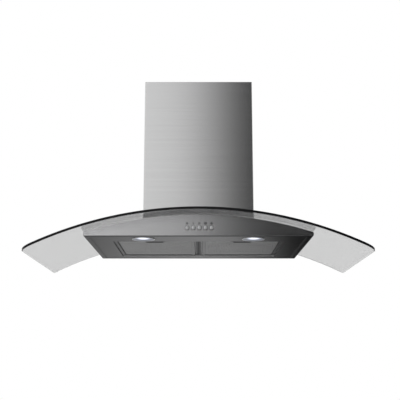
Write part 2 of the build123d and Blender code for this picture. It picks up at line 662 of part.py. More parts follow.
def duct_collar():
    """Outlet collar with a square flange, a stop ledge for the damper and holes for its pin."""
    flange = block(-COLLAR_FLANGE, COLLAR_FLANGE, COLLAR_Y - COLLAR_FLANGE, COLLAR_Y + COLLAR_FLANGE,
                   BLOWER_TOP, COLLAR_BASE)
    flange = fillet(flange.edges().filter_by(Axis.Z), 2 * BEND_R)
    tube = rod_z(COLLAR_R, BLOWER_TOP, COLLAR_BASE + COLLAR_H, 0, COLLAR_Y)
    bore = rod_z(COLLAR_INNER_R, BLOWER_TOP - CUT, COLLAR_BASE + COLLAR_H + CUT, 0, COLLAR_Y)
    ledge = rod_z(COLLAR_INNER_R + COLLAR_WALL / 2, STOP_TOP - STOP_T, STOP_TOP, 0, COLLAR_Y)
    ledge -= rod_z(COLLAR_INNER_R - STOP_W, STOP_TOP - STOP_T - CUT, STOP_TOP + CUT, 0, COLLAR_Y)
    pin_hole = rod_x(DAMPER_PIN_R, -COLLAR_R - CUT, COLLAR_R + CUT, COLLAR_Y, DAMPER_Z)
    return flange + tube - bore + ledge - pin_hole


def damper_pin():
    """Pin across the collar that carries both flaps."""
    reach = COLLAR_R - COLLAR_WALL / 2
    return rod_x(DAMPER_PIN_R, -reach, reach, COLLAR_Y, DAMPER_Z)


def damper_flap(side):
    """Half disc flap with two hinge barrels on the pin. Side -1 is the front flap, 1 the rear one."""
    radius = COLLAR_INNER_R - DAMPER_GAP
    low = STOP_TOP + SEAT_GAP
    disc = rod_z(radius, low, low + DAMPER_T, 0, COLLAR_Y)
    edge = DAMPER_BARREL_R + DAMPER_CLEAR
    if side < 0:
        half = block(-radius, radius, COLLAR_Y - radius, COLLAR_Y - edge, low, low + DAMPER_T)
    else:
        half = block(-radius, radius, COLLAR_Y + edge, COLLAR_Y + radius, low, low + DAMPER_T)
    plate = disc & half
    length = DAMPER_SPAN / 2 - DAMPER_CLEAR
    hinges = []
    for start in (-DAMPER_SPAN, 0) if side < 0 else (-DAMPER_SPAN / 2, DAMPER_SPAN / 2):
        barrel = rod_x(DAMPER_BARREL_R, start, start + length, COLLAR_Y, DAMPER_Z)
        ends = sorted((COLLAR_Y, COLLAR_Y + side * edge))
        hinges.append(barrel + block(start, start + length, *ends, low, low + DAMPER_T))
    bore = rod_x(DAMPER_PIN_R + RUNNING_GAP, -COLLAR_R, COLLAR_R, COLLAR_Y, DAMPER_Z)
    return plate + hinges - bore


def terminal_box():
    """Open box for the mains terminals on top of the blower box."""
    half_w = TERMINAL_W / 2
    half_d = TERMINAL_D / 2
    top = BLOWER_TOP + TERMINAL_H
    shell = block(TERMINAL_X - half_w, TERMINAL_X + half_w, TERMINAL_Y - half_d, TERMINAL_Y + half_d,
                  BLOWER_TOP, top)
    shell = fillet(shell.edges().filter_by(Axis.Z), BEND_R)
    wall = TERMINAL_WALL
    hollow = block(TERMINAL_X - half_w + wall, TERMINAL_X + half_w - wall, TERMINAL_Y - half_d + wall,
                   TERMINAL_Y + half_d - wall, BLOWER_TOP + wall, top + CUT)
    hole = rod_x(GLAND_R, TERMINAL_X, TERMINAL_X + TERMINAL_W, TERMINAL_Y, BLOWER_TOP + TERMINAL_H / 2)
    return shell - hollow - hole


def terminal_cover():
    """Lid of the terminal box."""
    top = BLOWER_TOP + TERMINAL_H
    lid = block(TERMINAL_X - TERMINAL_W / 2, TERMINAL_X + TERMINAL_W / 2, TERMINAL_Y - TERMINAL_D / 2,
                TERMINAL_Y + TERMINAL_D / 2, top, top + TERMINAL_LID)
    lid = fillet(lid.edges().filter_by(Axis.Z), BEND_R)
    return fillet(lid.edges().group_by(Axis.Z)[-1], TERMINAL_LID / 3)


def cable_gland():
    """Gland in the side of the terminal box, empty where the mains lead would pass."""
    wall = TERMINAL_X + TERMINAL_W / 2
    z = BLOWER_TOP + TERMINAL_H / 2
    barrel = rod_x(GLAND_R, wall - TERMINAL_WALL, wall + GLAND_L, TERMINAL_Y, z)
    plane = Plane(origin=(wall, TERMINAL_Y, z), x_dir=(0, 1, 0), z_dir=(1, 0, 0))
    nut = extrude(plane * RegularPolygon(GLAND_NUT, 6), GLAND_L / 2)
    bore = rod_x(GLAND_BORE, wall - TERMINAL_WALL - CUT, wall + GLAND_L + CUT, TERMINAL_Y, z)
    return barrel + nut - bore


def channel(half, front, back, z0, z1, bend):
    """Folded cover with a front, two sides and narrow returns at the back."""
    outer = block(-half, half, front, back, z0, z1)
    outer = fillet(outer.edges().filter_by(Axis.Z), bend)
    inner = block(-half + SHEET, half - SHEET, front + SHEET, back - SHEET, z0 - CUT, z1 + CUT)
    inner = fillet(inner.edges().filter_by(Axis.Z), bend - SHEET)
    opening = half - CHIMNEY_RETURN
    return outer - inner - block(-opening, opening, back - CUT, back + CUT, z0 - CUT, z1 + CUT)


def outer_chimney():
    """Outer chimney cover, cut to the arch of the glass at its foot."""
    low = arch_height(GLASS_TOP_R, CHIMNEY_HALF) - CUT
    cover = channel(CHIMNEY_HALF, -CHIMNEY_D, 0, low, CHIMNEY_TOP, CHIMNEY_BEND)
    return cover - rod_y(GLASS_TOP_R + SEAT_GAP, -CHIMNEY_D - CUT, CUT, 0, ARCH_Z)


def inner_chimney():
    """Inner chimney cover that slides up out of the outer one."""
    return channel(INNER_HALF, INNER_FRONT, -INNER_BACK, INNER_BOTTOM, INNER_TOP, CHIMNEY_BEND)


def bracket_levels():
    """Lower and upper edge of the wall bracket."""
    top = INNER_TOP - WALL_BRACKET_DROP
    return top - WALL_BRACKET_H, top


def ear_screw_place():
    """Height and depth of the screws through the ears of the wall bracket."""
    low, top = bracket_levels()
    return -WALL_BRACKET_STEP - WALL_BRACKET_EAR / 2, (low + top) / 2


def chimney_bracket():
    """Strip on the wall with two ears that hold the sides of the inner chimney."""
    low, top = bracket_levels()
    thick = WALL_BRACKET_T
    wall = WALL_BRACKET_HALF
    ear = INNER_HALF - SHEET
    strip = block(-wall, wall, -thick, 0, low, top)
    for side in (-1, 1):
        strip += side_block(side, wall - thick, wall, -WALL_BRACKET_STEP, 0, low, top)
        strip += side_block(side, wall - thick, ear, -WALL_BRACKET_STEP, -WALL_BRACKET_STEP + thick, low, top)
        strip += side_block(side, ear - thick, ear, -WALL_BRACKET_STEP - WALL_BRACKET_EAR,
                            -WALL_BRACKET_STEP + thick, low, top)
    y, z = ear_screw_place()
    holes = [rod_x(EAR_SCREW_R, -CHIMNEY_HALF, CHIMNEY_HALF, y, z)]
    for x in (-WALL_BRACKET_HOLES / 2, WALL_BRACKET_HOLES / 2):
        holes.append(rod_y(WALL_BRACKET_HOLE_R, -thick - CUT, CUT, x, z))
    return strip - holes


def chimney_screws():
    """Flat screws from the ears of the bracket into the sides of the inner chimney."""
    y, z = ear_screw_place()
    ear = INNER_HALF - SHEET - WALL_BRACKET_T
    screws = []
    for side in (-1, 1):
        ends = sorted((side * (ear - EAR_HEAD_H), side * ear))
        head = rod_x(EAR_HEAD_R, *ends, y, z)
        ends = sorted((side * (ear - EAR_HEAD_H), side * (ear + WALL_BRACKET_T)))
        screws.append((head + rod_x(EAR_SCREW_R, *ends, y, z)).solid())
    return Compound(screws)


def switch_block():
    """Switch housing behind the front, with a guide bore for each button."""
    left = BUTTON_XS[0] - SWITCH_MARGIN
    right = BUTTON_XS[-1] + SWITCH_MARGIN
    front = FRONT_Y + SHEET
    body = block(left, right, front, front + SWITCH_D, BUTTON_Z - SWITCH_H / 2, BUTTON_Z + SWITCH_H / 2)
    body = fillet(body.edges().filter_by(Axis.Y), BEND_R / 2)
    pocket_end = FRONT_Y - BUTTON_PROUD + BUTTON_CAP + BUTTON_TRAVEL + SEAT_GAP
    bore_end = FRONT_Y - BUTTON_PROUD + BUTTON_CAP + BUTTON_STEM + BUTTON_TRAVEL + SEAT_GAP
    cuts = []
    for x in BUTTON_XS:
        cuts.append(rod_y(BUTTON_R + BUTTON_GAP, front - CUT, pocket_end, x, BUTTON_Z))
        cuts.append(rod_y(BUTTON_STEM_R + RUNNING_GAP, front - CUT, bore_end, x, BUTTON_Z))
    return body - cuts


def push_button(x):
    """Round push button with a softened face and a guided stem."""
    face = FRONT_Y - BUTTON_PROUD
    cap = rod_y(BUTTON_R, face, face + BUTTON_CAP, x, BUTTON_Z)
    cap = fillet(cap.edges().filter_by(GeomType.CIRCLE).sort_by(Axis.Y)[:1], BUTTON_DOME)
    stem = rod_y(BUTTON_STEM_R, face + BUTTON_CAP, face + BUTTON_CAP + BUTTON_STEM, x, BUTTON_Z)
    return cap + stem


def lamp_bezel(side):
    """Trim ring under the panel with a neck through it and a lip that holds the lens."""
    x = side * LAMP_X
    flange = rod_z(LAMP_BEZEL_R, PANEL_Z - LAMP_BEZEL_T, PANEL_Z, x, LAMP_Y)
    flange = fillet(flange.edges().filter_by(GeomType.CIRCLE).group_by(Axis.Z)[0], LAMP_BEZEL_T / 2)
    neck = rod_z(LAMP_NECK_R, PANEL_Z - LAMP_BEZEL_T / 2, PANEL_Z + LAMP_NECK_H, x, LAMP_Y)
    seat = rod_z(LAMP_LENS_R + SEAT_GAP, PANEL_Z - LAMP_BEZEL_T + LAMP_LIP_T, PANEL_Z + LAMP_NECK_H + CUT, x, LAMP_Y)
    mouth = rod_z(LAMP_LENS_R - LAMP_LIP, -CUT, PANEL_Z + CUT, x, LAMP_Y)
    return flange + neck - seat - mouth


def lamp_lens(side):
    """Frosted disc that lies on the lip of the bezel."""
    low = PANEL_Z - LAMP_BEZEL_T + LAMP_LIP_T
    return rod_z(LAMP_LENS_R, low, low + LAMP_LENS_T, side * LAMP_X, LAMP_Y)


def lamp_housing(side):
    """Can on the neck of the bezel, closed on top."""
    x = side * LAMP_X
    low = PANEL_Z + LAMP_NECK_H
    can = rod_z(LAMP_NECK_R, low, low + LAMP_CAN_H, x, LAMP_Y)
    can = fillet(can.edges().filter_by(GeomType.CIRCLE).group_by(Axis.Z)[-1], BEND_R / 2)
    return can - rod_z(LAMP_NECK_R - LAMP_CAN_WALL, low - CUT, low + LAMP_CAN_H - LAMP_CAN_WALL, x, LAMP_Y)


def lamp_board(side):
    """Round light board under the ceiling of the lamp housing."""
    top = PANEL_Z + LAMP_NECK_H + LAMP_CAN_H - LAMP_CAN_WALL
    return rod_z(BOARD_R, top - BOARD_T, top, side * LAMP_X, LAMP_Y)


def lamp_driver():
    """Driver of the lamps on the underside panel."""
    body = block(DRIVER_X - DRIVER_W / 2, DRIVER_X + DRIVER_W / 2, LAMP_Y - DRIVER_D / 2, LAMP_Y + DRIVER_D / 2,
                 PANEL_TOP, PANEL_TOP + DRIVER_H)
    return fillet(body.edges().group_by(Axis.Z)[-1] + body.edges().filter_by(Axis.Z), BEND_R / 2)


def all_parts():
    """Every node of the hood by name."""
    parts = {
        "canopy_shell": canopy_shell(),
        "top_panel": top_panel(),
        "rear_panel": rear_panel(),
        "underside_panel": underside_panel(),
        "recess_walls": recess_walls(),
        "filter_centre_bar": filter_centre_bar(),
        "glass_canopy": glass_canopy(),
        "glass_seal": glass_seal(),
        "glass_screws": glass_screws(),
        "blower_box": blower_box(),
        "blower_screws": blower_screws(),
        "scroll_housing": scroll_housing(),
        "inlet_rings": inlet_rings(),
        "fan_wheel": fan_wheel(),
        "motor_shaft": motor_shaft(),
        "fan_motor": fan_motor(),
        "motor_bracket": motor_bracket(),
        "run_capacitor": run_capacitor(),
        "duct_collar": duct_collar(),
        "damper_pin": damper_pin(),
        "damper_flap_front": damper_flap(-1),
        "damper_flap_rear": damper_flap(1),
        "terminal_box": terminal_box(),
        "terminal_cover": terminal_cover(),
        "cable_gland": cable_gland(),
        "outer_chimney": outer_chimney(),
        "inner_chimney": inner_chimney(),
        "chimney_bracket": chimney_bracket(),
        "chimney_screws": chimney_screws(),
        "switch_block": switch_block(),
        "lamp_driver": lamp_driver(),
    }
    for name, x in zip(BUTTON_NAMES, BUTTON_XS):
        parts[name] = push_button(x)
    for word, side in (("left", -1), ("right", 1)):
        parts["lamp_bezel_" + word] = lamp_bezel(side)
        parts["lamp_lens_" + word] = lamp_lens(side)
        parts["lamp_housing_" + word] = lamp_housing(side)
        parts["lamp_board_" + word] = lamp_board(side)
        parts["filter_frame_" + word] = filter_frame(side)
        parts["filter_mesh_" + word] = filter_mesh(side)
        parts["filter_latch_" + word] = filter_latch(side)
    return parts


os.makedirs("parts", exist_ok=True)
for node, shape in all_parts().items():
    export_step(shape, "parts/" + node + ".step")
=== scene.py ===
import json
import math

import bmesh
import bpy
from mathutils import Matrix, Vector
from mathutils.geometry import delaunay_2d_cdt


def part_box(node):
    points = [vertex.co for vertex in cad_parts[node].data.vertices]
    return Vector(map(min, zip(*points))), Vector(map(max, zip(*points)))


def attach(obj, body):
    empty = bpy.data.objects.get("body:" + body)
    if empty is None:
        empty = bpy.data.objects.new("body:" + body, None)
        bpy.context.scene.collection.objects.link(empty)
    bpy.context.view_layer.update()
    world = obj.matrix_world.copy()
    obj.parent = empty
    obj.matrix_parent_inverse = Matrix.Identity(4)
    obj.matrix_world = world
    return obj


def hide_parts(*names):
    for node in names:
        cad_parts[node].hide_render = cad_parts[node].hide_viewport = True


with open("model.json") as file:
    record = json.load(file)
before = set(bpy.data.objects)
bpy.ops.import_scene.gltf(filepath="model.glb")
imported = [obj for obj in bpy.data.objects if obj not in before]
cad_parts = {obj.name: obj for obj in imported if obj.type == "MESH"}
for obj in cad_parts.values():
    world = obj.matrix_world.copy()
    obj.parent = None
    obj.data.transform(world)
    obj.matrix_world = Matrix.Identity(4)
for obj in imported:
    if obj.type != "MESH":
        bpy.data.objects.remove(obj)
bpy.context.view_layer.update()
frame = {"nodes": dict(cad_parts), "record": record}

nodes = frame["nodes"]

# Sides of the hood, with the sign of X there
SIDES = {"left": -1, "right": 1}

# Camera as fitted to the photo: place in metres, tilt in degrees, sensor and lens in millimetres
CAMERA_PLACE = (0.0042, -2.4885, -0.3458)
CAMERA_PITCH = 12.094
SENSOR = 36.0
LENS = 72.05

# Glass pane, in metres, as all lengths below
GLASS_R = 1.005
GLASS_T = 0.0065
GLASS_FRONT_CORNER = 0.025
GLASS_REAR_CORNER = 0.006
GLASS_CUTOUT_GAP = 0.004
GLASS_CUTOUT_R = 0.010
GLASS_ARRIS = 0.0005
GLASS_HOLE_R = 0.004
GLASS_SCREW_X = 0.234
GLASS_SCREW_YS = (-0.332, -0.080)

# Mesh of the pane: grid, clear margin along its outline, and steps along the edges
GLASS_GRID_X = 0.0075
GLASS_GRID_Y = 0.030
GLASS_GRID_CLEAR = 0.00125
FRONT_EDGE_STEPS = 112
SIDE_EDGE_STEPS = 16
BACK_EDGE_STEPS = 40
CUTOUT_SIDE_STEPS = 8
CUTOUT_FRONT_STEPS = 34
FRONT_CORNER_STEPS = 10
SMALL_CORNER_STEPS = 5
HOLE_STEPS = 20
PLAN_WELD = 1e-7
TINY = 1e-6

# Places of the finishes in the material list of the pane
PANE_CLEAR = 0
PANE_FRONT = 1
PANE_SIDE = 2

# Strips that wrap round the chimney and the body
WRAP_CORNER = 0.002
WRAP_CORNER_STEPS = 8
WRAP_SIDE_STEP = 0.03
WRAP_FRONT_STEP = 0.008
WRAP_ROUND_STEPS = 4

# Mid grey strip round the foot of the chimney, whose colour is painted shade there
FOOT_H = 0.041
FOOT_T = 0.0012
FOOT_ROUND = 0.0008
FOOT_GAP = 0.0003

# Hem that stands on the upper edge of the body, under the glass
HEM_R = 1.001
HEM_H = 0.0022
HEM_T = 0.0012
HEM_INSET = 0.00005
HEM_SINK = 0.0003
HEM_ROUND = 0.0004
HEM_BACK = -0.002

# Fine expanded metal of the grease filters
MESH_EDGE = 0.004
MESH_PITCH_X = 0.0090
MESH_PITCH_Y = 0.0060
STRAND_W = 0.0009
STRAND_T = 0.0005
STRAND_LEAN = 0.00016
STRAND_LAP = STRAND_W / 3
MESH_LEVELS = (0.13, 0.5)
LATCH_ROOM = 0.002
LATCH_TRAVEL = 0.005

# Filter frames: width of the bars and rear edge
FRAME_BORDER = 0.009
FRAME_REAR = -0.0415

# Lips at the outer edges of the filter frames
LIP_REACH = 0.0018
LIP_RISE = 0.0030
LIP_ROUND = 0.0008
LIP_END = 0.004
LIP_STEPS = 8

# Strips under the rear bars of the filter frames, whose pale fronts are painted light
REAR_LIP_H = 0.0016
REAR_LIP_ROUND = 0.0006
REAR_LIP_GAP = 0.0008
REAR_LIP_STEPS = 6

# Half round beads under the filter frames and the centre bar
BEAD_W = 0.0018
BEAD_H = 0.0004
BEAD_STEPS = 8
BAR_EDGE_X = 0.0079

# Spacing of the rings along beads and lips
RING_SPACING = 0.02

# Caps and bushes at the push buttons
BUSH_R = 0.0057
BUSH_TUBE = 0.0005
BUSH_STEPS = 10
CAP_INSET = 0.0001
CAP_ROUND = 0.0006
CAP_EDGE = 0.0005
CAP_DOME = 0.0002
CAP_EDGE_STEPS = 8
CAP_DOME_STEPS = 10
TURN_STEPS = 48

# Signs over the push buttons; the pitch of bars and the line of the small ring count in line widths
SIGN_Z = 0.0343
SIGN_H = 0.0054
SIGN_LINE = 0.0016
SIGN_T = 0.00008
SIGN_BAR_PITCH = 1.75
SIGN_RAYS_LINE = 0.8
SIGN_RAYS_R = 0.25 * SIGN_H
SIGN_RAYS_REACH = 0.475 * SIGN_H
HOOP_STEPS = 32

# Shared by the finishes: part of a noise that takes up the changes, depth of fine relief, and white
NOISE_REACH = (0.3, 0.7)
BUMP_DEPTH = 0.0001
WHITE = (1, 1, 1)

# Brushed steel: stretch of the lines on upright and level faces, and changes of tone and roughness
BRUSH_UPRIGHT = (5, 5, 1400)
BRUSH_LEVEL = (5, 1400, 5)
BRUSH_HARSH = 0.65
BRUSH_BROAD = 0.12
BRUSH_SHARE = 0.6
BRUSH_TONES = (0.955, 1.045)
BRUSH_SMOOTHER = 0.008
BRUSH_ROUGHER = 0.012
BRUSH_REACH = (0.25, 0.75)
BRUSH_TANGENT = (0.0, 0.02, 1.0)
BRUSH_BUMP = 0.08
UPRIGHT_PULL = 0.97
UPRIGHT_EDGE = 1.0
LEVEL_PULL = 0.5
LEVEL_EDGE = 0.5
LEVEL_ROUGH = 0.18
LEVEL_SLOPE = (0.5, 0.8)

# Painted shade: steel is darker on faces that slope down at its folds. Painted light: faces that look to the
# front are pale and matt
FOLD_PAINTED_SHADE = (0.2, 0.2, 0.2)
FOLD_SHADE_START = (0.35, 0.6)
FOLD_SHADE_END = (0.96, 0.995)
PAINTED_LIGHT_TONE = (0.6, 0.6, 0.6)
PAINTED_LIGHT_METAL = 0.5
PAINTED_LIGHT_ROUGH = 0.5
PAINTED_LIGHT_FACING = (-0.9, -0.6)

# Colours and roughness of the steel sheets. The level colours are darker copies of the upright ones, painted
# shade, and the body's colours are a darker copy of the chimney's for the same steel, painted shade too
CHIMNEY_UPRIGHT = (0.642, 0.642, 0.644)
CHIMNEY_LEVEL_SHADE = (0.5, 0.5, 0.502)
CHIMNEY_ROUGH = 0.195
BODY_UPRIGHT_SHADE = (0.44, 0.44, 0.445)
BODY_LEVEL_SHADE = (0.345, 0.345, 0.35)
BODY_ROUGH = 0.255

# Satin metal
SATIN_GRAIN = 900.0
SATIN_CLOUD = 14.0
SATIN_TONES = (0.93, 1.05)
SATIN_SMOOTHER = 0.05
SATIN_ROUGHER = 0.06
SATIN_BUMP = 0.06

# Zinc coat
ZINC_CELLS = 95.0
ZINC_GRAIN = 260.0
ZINC_SHARE = 0.7
ZINC_TONES = (0.86, 1.08)
ZINC_TONE_REACH = (0.25, 0.75)
ZINC_ROUGH = (0.36, 0.52)
ZINC_ROUGH_REACH = (0.2, 0.8)
ZINC_METAL = 0.9
ZINC_BUMP = 0.08
ZINC_DEPTH = 0.0002

# Moulded plastic
PLASTIC_GRAIN = 1500.0
PLASTIC_CLOUD = 22.0
PLASTIC_TONES = (0.85, 1.15)
PLASTIC_SMOOTHER = 0.06
PLASTIC_ROUGHER = 0.08
PLASTIC_BUMP = 0.15

# Translucent finish and clear glass
CLOUDY_SCALE = 40.0
CLOUDY_TONES = (0.9, 1.1)
CLOUDY_ROUGH = (0.4, 0.55)
HAZE_SCALE = 9.0
HAZE_ROUGH = (0.0, 0.015)
HAZE_REACH = (0.35, 0.75)
GLASS_IOR = 1.5

# Lamps: bright spot before the middle of the frosted lens, and chrome beyond its rim
LAMP_TONE = (0.70, 0.74, 0.86)
LAMP_STRENGTH = 1.12
LAMP_SPOT = 0.015
LAMP_SQUEEZE = (0.7, 0.9, 1.0)
LAMP_REACH = (0.003, 0.034)
LAMP_KNEE = 0.45
LAMP_RIM = 0.09
LAMP_UNLIT = 0.3
LAMP_GRAIN = 600.0
LAMP_FUZZ = 0.0015
LAMP_ROUGH = (0.3, 0.5)
LAMP_FROST_R = 0.0283
CHROME_TONE = (0.72, 0.72, 0.73)
CHROME_ROUGH = (0.19, 0.3)

# Floor
FLOOR_Y = -0.2
FLOOR_Z = -2.7
FLOOR_R = 3.4
FLOOR_SIDES = 96
FLOOR_TONE = 0.82
FLOOR_ROUGH = 0.9
FLOOR_FADE = (0.35 * FLOOR_R, 0.95 * FLOOR_R)
FLOOR_DIM_SIDE = (0.2, 1.0)
FLOOR_DIM = 0.9

# Light of the surroundings in front: levels, and their spans in degrees to the side, FRONT_LOW in height
FRONT_FALL = (-2.6, 4.7)
FRONT_BRIGHT = 0.875
FRONT_DARK = 0.015
FRONT_LIFT = (-11.0, -3.5)
FRONT_EXTRA = 0.42
FRONT_LOW = (-0.25, -0.04)
FRONT_LOW_SIDE = (-1.5, 2.0)
FRONT_LOW_DIM = 0.6
FRONT_VEILED = 0.8
FRONT_TWICE = 0.7
FAR_LEFT = (-36.0, -14.0)
FAR_RIGHT = (15.0, 40.0)
FAR_LEVEL = 0.6
FAR_OPEN = 1.5

# Light of the surroundings behind: levels, and their spans in degrees to the side, HORIZON in height,
# with the turn from front to back in depth
LOW_RISE = (-12.0, 0.0)
LOW_LEFT = 0.22
LOW_MIDDLE = 0.67
LOW_FALL = (0.8, 7.4)
LOW_RIGHT = 0.02
HORIZON = (-0.06, 0.0)
BEHIND = (-0.15, 0.15)

# Marks halfway below a count of reflections
ONE_REFLECTION = 0.5
TWO_REFLECTIONS = 1.5

# Soft lamp
KEY_PLACE = (-2.0, -2.3, 2.2)
KEY_TARGET = (0, -0.2, 0.2)
KEY_SIZE = 3.0
KEY_POWER = 9.0


def node_box(name):
    """Lowest and highest corner of a CAD node."""
    low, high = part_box(name)
    return Vector(low), Vector(high)


def shade(colour, factor):
    """Colour made lighter or darker."""
    return tuple(min(1.0, part * factor) for part in colour)


class Graph:
    """Small helper that adds nodes to a node tree and links them."""

    def __init__(self, tree):
        self.tree = tree

    def add(self, kind, **settings):
        """New node with its settings."""
        node = self.tree.nodes.new(kind)
        for key, value in settings.items():
            setattr(node, key, value)
        return node

    def link(self, source, target):
        """Link from an output to an input."""
        self.tree.links.new(source, target)

    def math(self, operation, first, second=None):
        """Result of one operation on outputs or plain numbers."""
        node = self.add("ShaderNodeMath", operation=operation)
        for socket, value in zip(node.inputs, (first, second)):
            if value is None:
                continue
            if isinstance(value, (int, float)):
                socket.default_value = value
            else:
                self.link(value, socket)
        return node.outputs[0]

    def flip(self, value):
        """One minus a value."""
        return self.math("SUBTRACT", 1.0, value)

    def weigh(self, first, second, share):
        """Two values added up, the first with a share of one and the second with the rest."""
        return self.math("ADD", self.math("MULTIPLY", first, share), self.math("MULTIPLY", second, 1 - share))

    def span(self, value, low, high, to_low=0.0, to_high=1.0):
        """Smooth step from one level to another while a value goes from low to high."""
        node = self.add("ShaderNodeMapRange", interpolation_type="SMOOTHSTEP")
        self.link(value, node.inputs["Value"])
        node.inputs["From Min"].default_value = low
        node.inputs["From Max"].default_value = high
        node.inputs["To Min"].default_value = to_low
        node.inputs["To Max"].default_value = to_high
        return node.outputs["Result"]

    def place(self, kind):
        """Coordinates of one kind."""
        return self.add("ShaderNodeTexCoord").outputs[kind]

    def parts(self, vector):
        """X, Y and Z of a vector."""
        node = self.add("ShaderNodeSeparateXYZ")
        self.link(vector, node.inputs["Vector"])
        return [node.outputs[axis] for axis in "XYZ"]

    def noise(self, scale, detail=2.0, stretch=(1, 1, 1), harsh=0.5):
        """Noise that sticks to the object."""
        mapping = self.add("ShaderNodeMapping")
        mapping.inputs["Scale"].default_value = stretch
        self.link(self.place("Object"), mapping.inputs["Vector"])
        node = self.add("ShaderNodeTexNoise")
        node.inputs["Scale"].default_value = scale
        node.inputs["Detail"].default_value = detail
        node.inputs["Roughness"].default_value = harsh
        self.link(mapping.outputs["Vector"], node.inputs["Vector"])
        return node.outputs["Fac"]

    def ramp(self, value, stops):
        """Colours by a value, from (place, colour) stops."""
        node = self.add("ShaderNodeValToRGB")
        elements = node.color_ramp.elements
        while len(elements) < len(stops):
            elements.new(0.5)
        for element, (place, colour) in zip(elements, stops):
            element.position = place
            element.color = (*colour, 1)
        self.link(value, node.inputs["Fac"])
        return node.outputs["Color"]

    def tint(self, value, colour, tones, reach=NOISE_REACH):
        """Colour that changes between two tones with a noise."""
        return self.ramp(value, [(place, shade(colour, tone)) for place, tone in zip(reach, tones)])

    def gloss(self, shader, value, low, high, reach=NOISE_REACH):
        """Roughness that changes between two levels with a noise."""
        self.link(self.span(value, *reach, low, high), shader.inputs["Roughness"])

    def bump(self, height, strength, distance, shader):
        """Fine relief of a shader."""
        node = self.add("ShaderNodeBump")
        node.inputs["Strength"].default_value = strength
        node.inputs["Distance"].default_value = distance
        self.link(height, node.inputs["Height"])
        self.link(node.outputs["Normal"], shader.inputs["Normal"])

    def mix(self, factor, first, second):
        """Mix of two shaders."""
        node = self.add("ShaderNodeMixShader")
        self.link(factor, node.inputs["Fac"])
        self.link(first, node.inputs[1])
        self.link(second, node.inputs[2])
        return node.outputs["Shader"]

    def surface(self, shader):
        """Shader that the material shows."""
        self.link(shader, self.tree.nodes["Material Output"].inputs["Surface"])


def new_material(name):
    """New node material, its main shader and its graph."""
    material = bpy.data.materials.new(name)
    material.use_nodes = True
    shader = material.node_tree.nodes["Principled BSDF"]
    return material, shader, Graph(material.node_tree)


def brush_lines(graph, shader, colour, fold_shade, stretch, roughness, pull, edge):
    """Fine brush lines along the directions of low stretch, with painted shade in the folds, for one shader.
    """
    fine = graph.noise(1.0, detail=3.0, stretch=stretch, harsh=BRUSH_HARSH)
    broad = graph.noise(1.0, stretch=[part * BRUSH_BROAD for part in stretch])
    mixed = graph.weigh(fine, broad, BRUSH_SHARE)
    bent = graph.add("ShaderNodeMix", data_type="RGBA", blend_type="MULTIPLY")
    bent.inputs["Factor"].default_value = 1.0
    graph.link(graph.tint(mixed, colour, BRUSH_TONES), bent.inputs["A"])
    graph.link(fold_shade, bent.inputs["B"])
    graph.link(bent.outputs["Result"], shader.inputs["Base Color"])
    graph.gloss(shader, mixed, roughness - BRUSH_SMOOTHER, roughness + BRUSH_ROUGHER, BRUSH_REACH)
    shader.inputs["Metallic"].default_value = 1.0
    shader.inputs["Anisotropic"].default_value = pull
    shader.inputs["Specular Tint"].default_value = (edge, edge, edge, 1)
    across = graph.add("ShaderNodeCombineXYZ")
    for axis, part in zip("XYZ", BRUSH_TANGENT):
        across.inputs[axis].default_value = part
    graph.link(across.outputs["Vector"], shader.inputs["Tangent"])
    graph.bump(fine, BRUSH_BUMP, BUMP_DEPTH, shader)


def painted_light_edge(graph):
    """Pale matt shader that paints light on faces that look to the front."""
    shader = graph.add("ShaderNodeBsdfPrincipled")
    shader.inputs["Base Color"].default_value = (*PAINTED_LIGHT_TONE, 1)
    shader.inputs["Metallic"].default_value = PAINTED_LIGHT_METAL
    shader.inputs["Roughness"].default_value = PAINTED_LIGHT_ROUGH
    return shader.outputs["BSDF"]


def brushed_steel(name, upright_tone, shaded_level_tone, roughness, painted_light_fronts=False):
    """Stainless steel brushed from side to side, with its upright and its level faces finished apart; the
    level faces also get a darker colour, which is painted shade.

    Faces that look to the front can get painted light, pale and matt.
    """
    material, upright, graph = new_material(name)
    _, facing_y, facing_z = graph.parts(graph.add("ShaderNodeNewGeometry").outputs["Normal"])
    under = graph.math("MULTIPLY", facing_z, -1.0)
    tones = (WHITE, FOLD_PAINTED_SHADE, FOLD_PAINTED_SHADE, WHITE)
    # Painted shade on faces that slope down at the folds
    fold_shade = graph.ramp(under, list(zip(FOLD_SHADE_START + FOLD_SHADE_END, tones)))
    brush_lines(graph, upright, upright_tone, fold_shade, BRUSH_UPRIGHT, roughness, UPRIGHT_PULL, UPRIGHT_EDGE)
    # Level faces, above and below, take the darker level colour: painted shade
    level = graph.add("ShaderNodeBsdfPrincipled")
    brush_lines(graph, level, shaded_level_tone, fold_shade, BRUSH_LEVEL, LEVEL_ROUGH, LEVEL_PULL, LEVEL_EDGE)
    slope = graph.span(graph.math("ABSOLUTE", facing_z), *LEVEL_SLOPE)
    finish = graph.mix(slope, upright.outputs["BSDF"], level.outputs["BSDF"])
    if painted_light_fronts:
        finish = graph.mix(graph.span(facing_y, *PAINTED_LIGHT_FACING, 1.0, 0.0), finish, painted_light_edge(graph))
    graph.surface(finish)
    return material


def satin_metal(name, colour, roughness, edge=1.0):
    """Plain satin metal with slight changes of tone and gloss."""
    material, shader, graph = new_material(name)
    fine = graph.noise(SATIN_GRAIN, detail=3.0)
    cloud = graph.noise(SATIN_CLOUD)
    graph.link(graph.tint(cloud, colour, SATIN_TONES), shader.inputs["Base Color"])
    graph.gloss(shader, fine, roughness - SATIN_SMOOTHER, roughness + SATIN_ROUGHER)
    shader.inputs["Metallic"].default_value = 1.0
    shader.inputs["Specular Tint"].default_value = (edge, edge, edge, 1)
    graph.bump(fine, SATIN_BUMP, BUMP_DEPTH, shader)
    return material


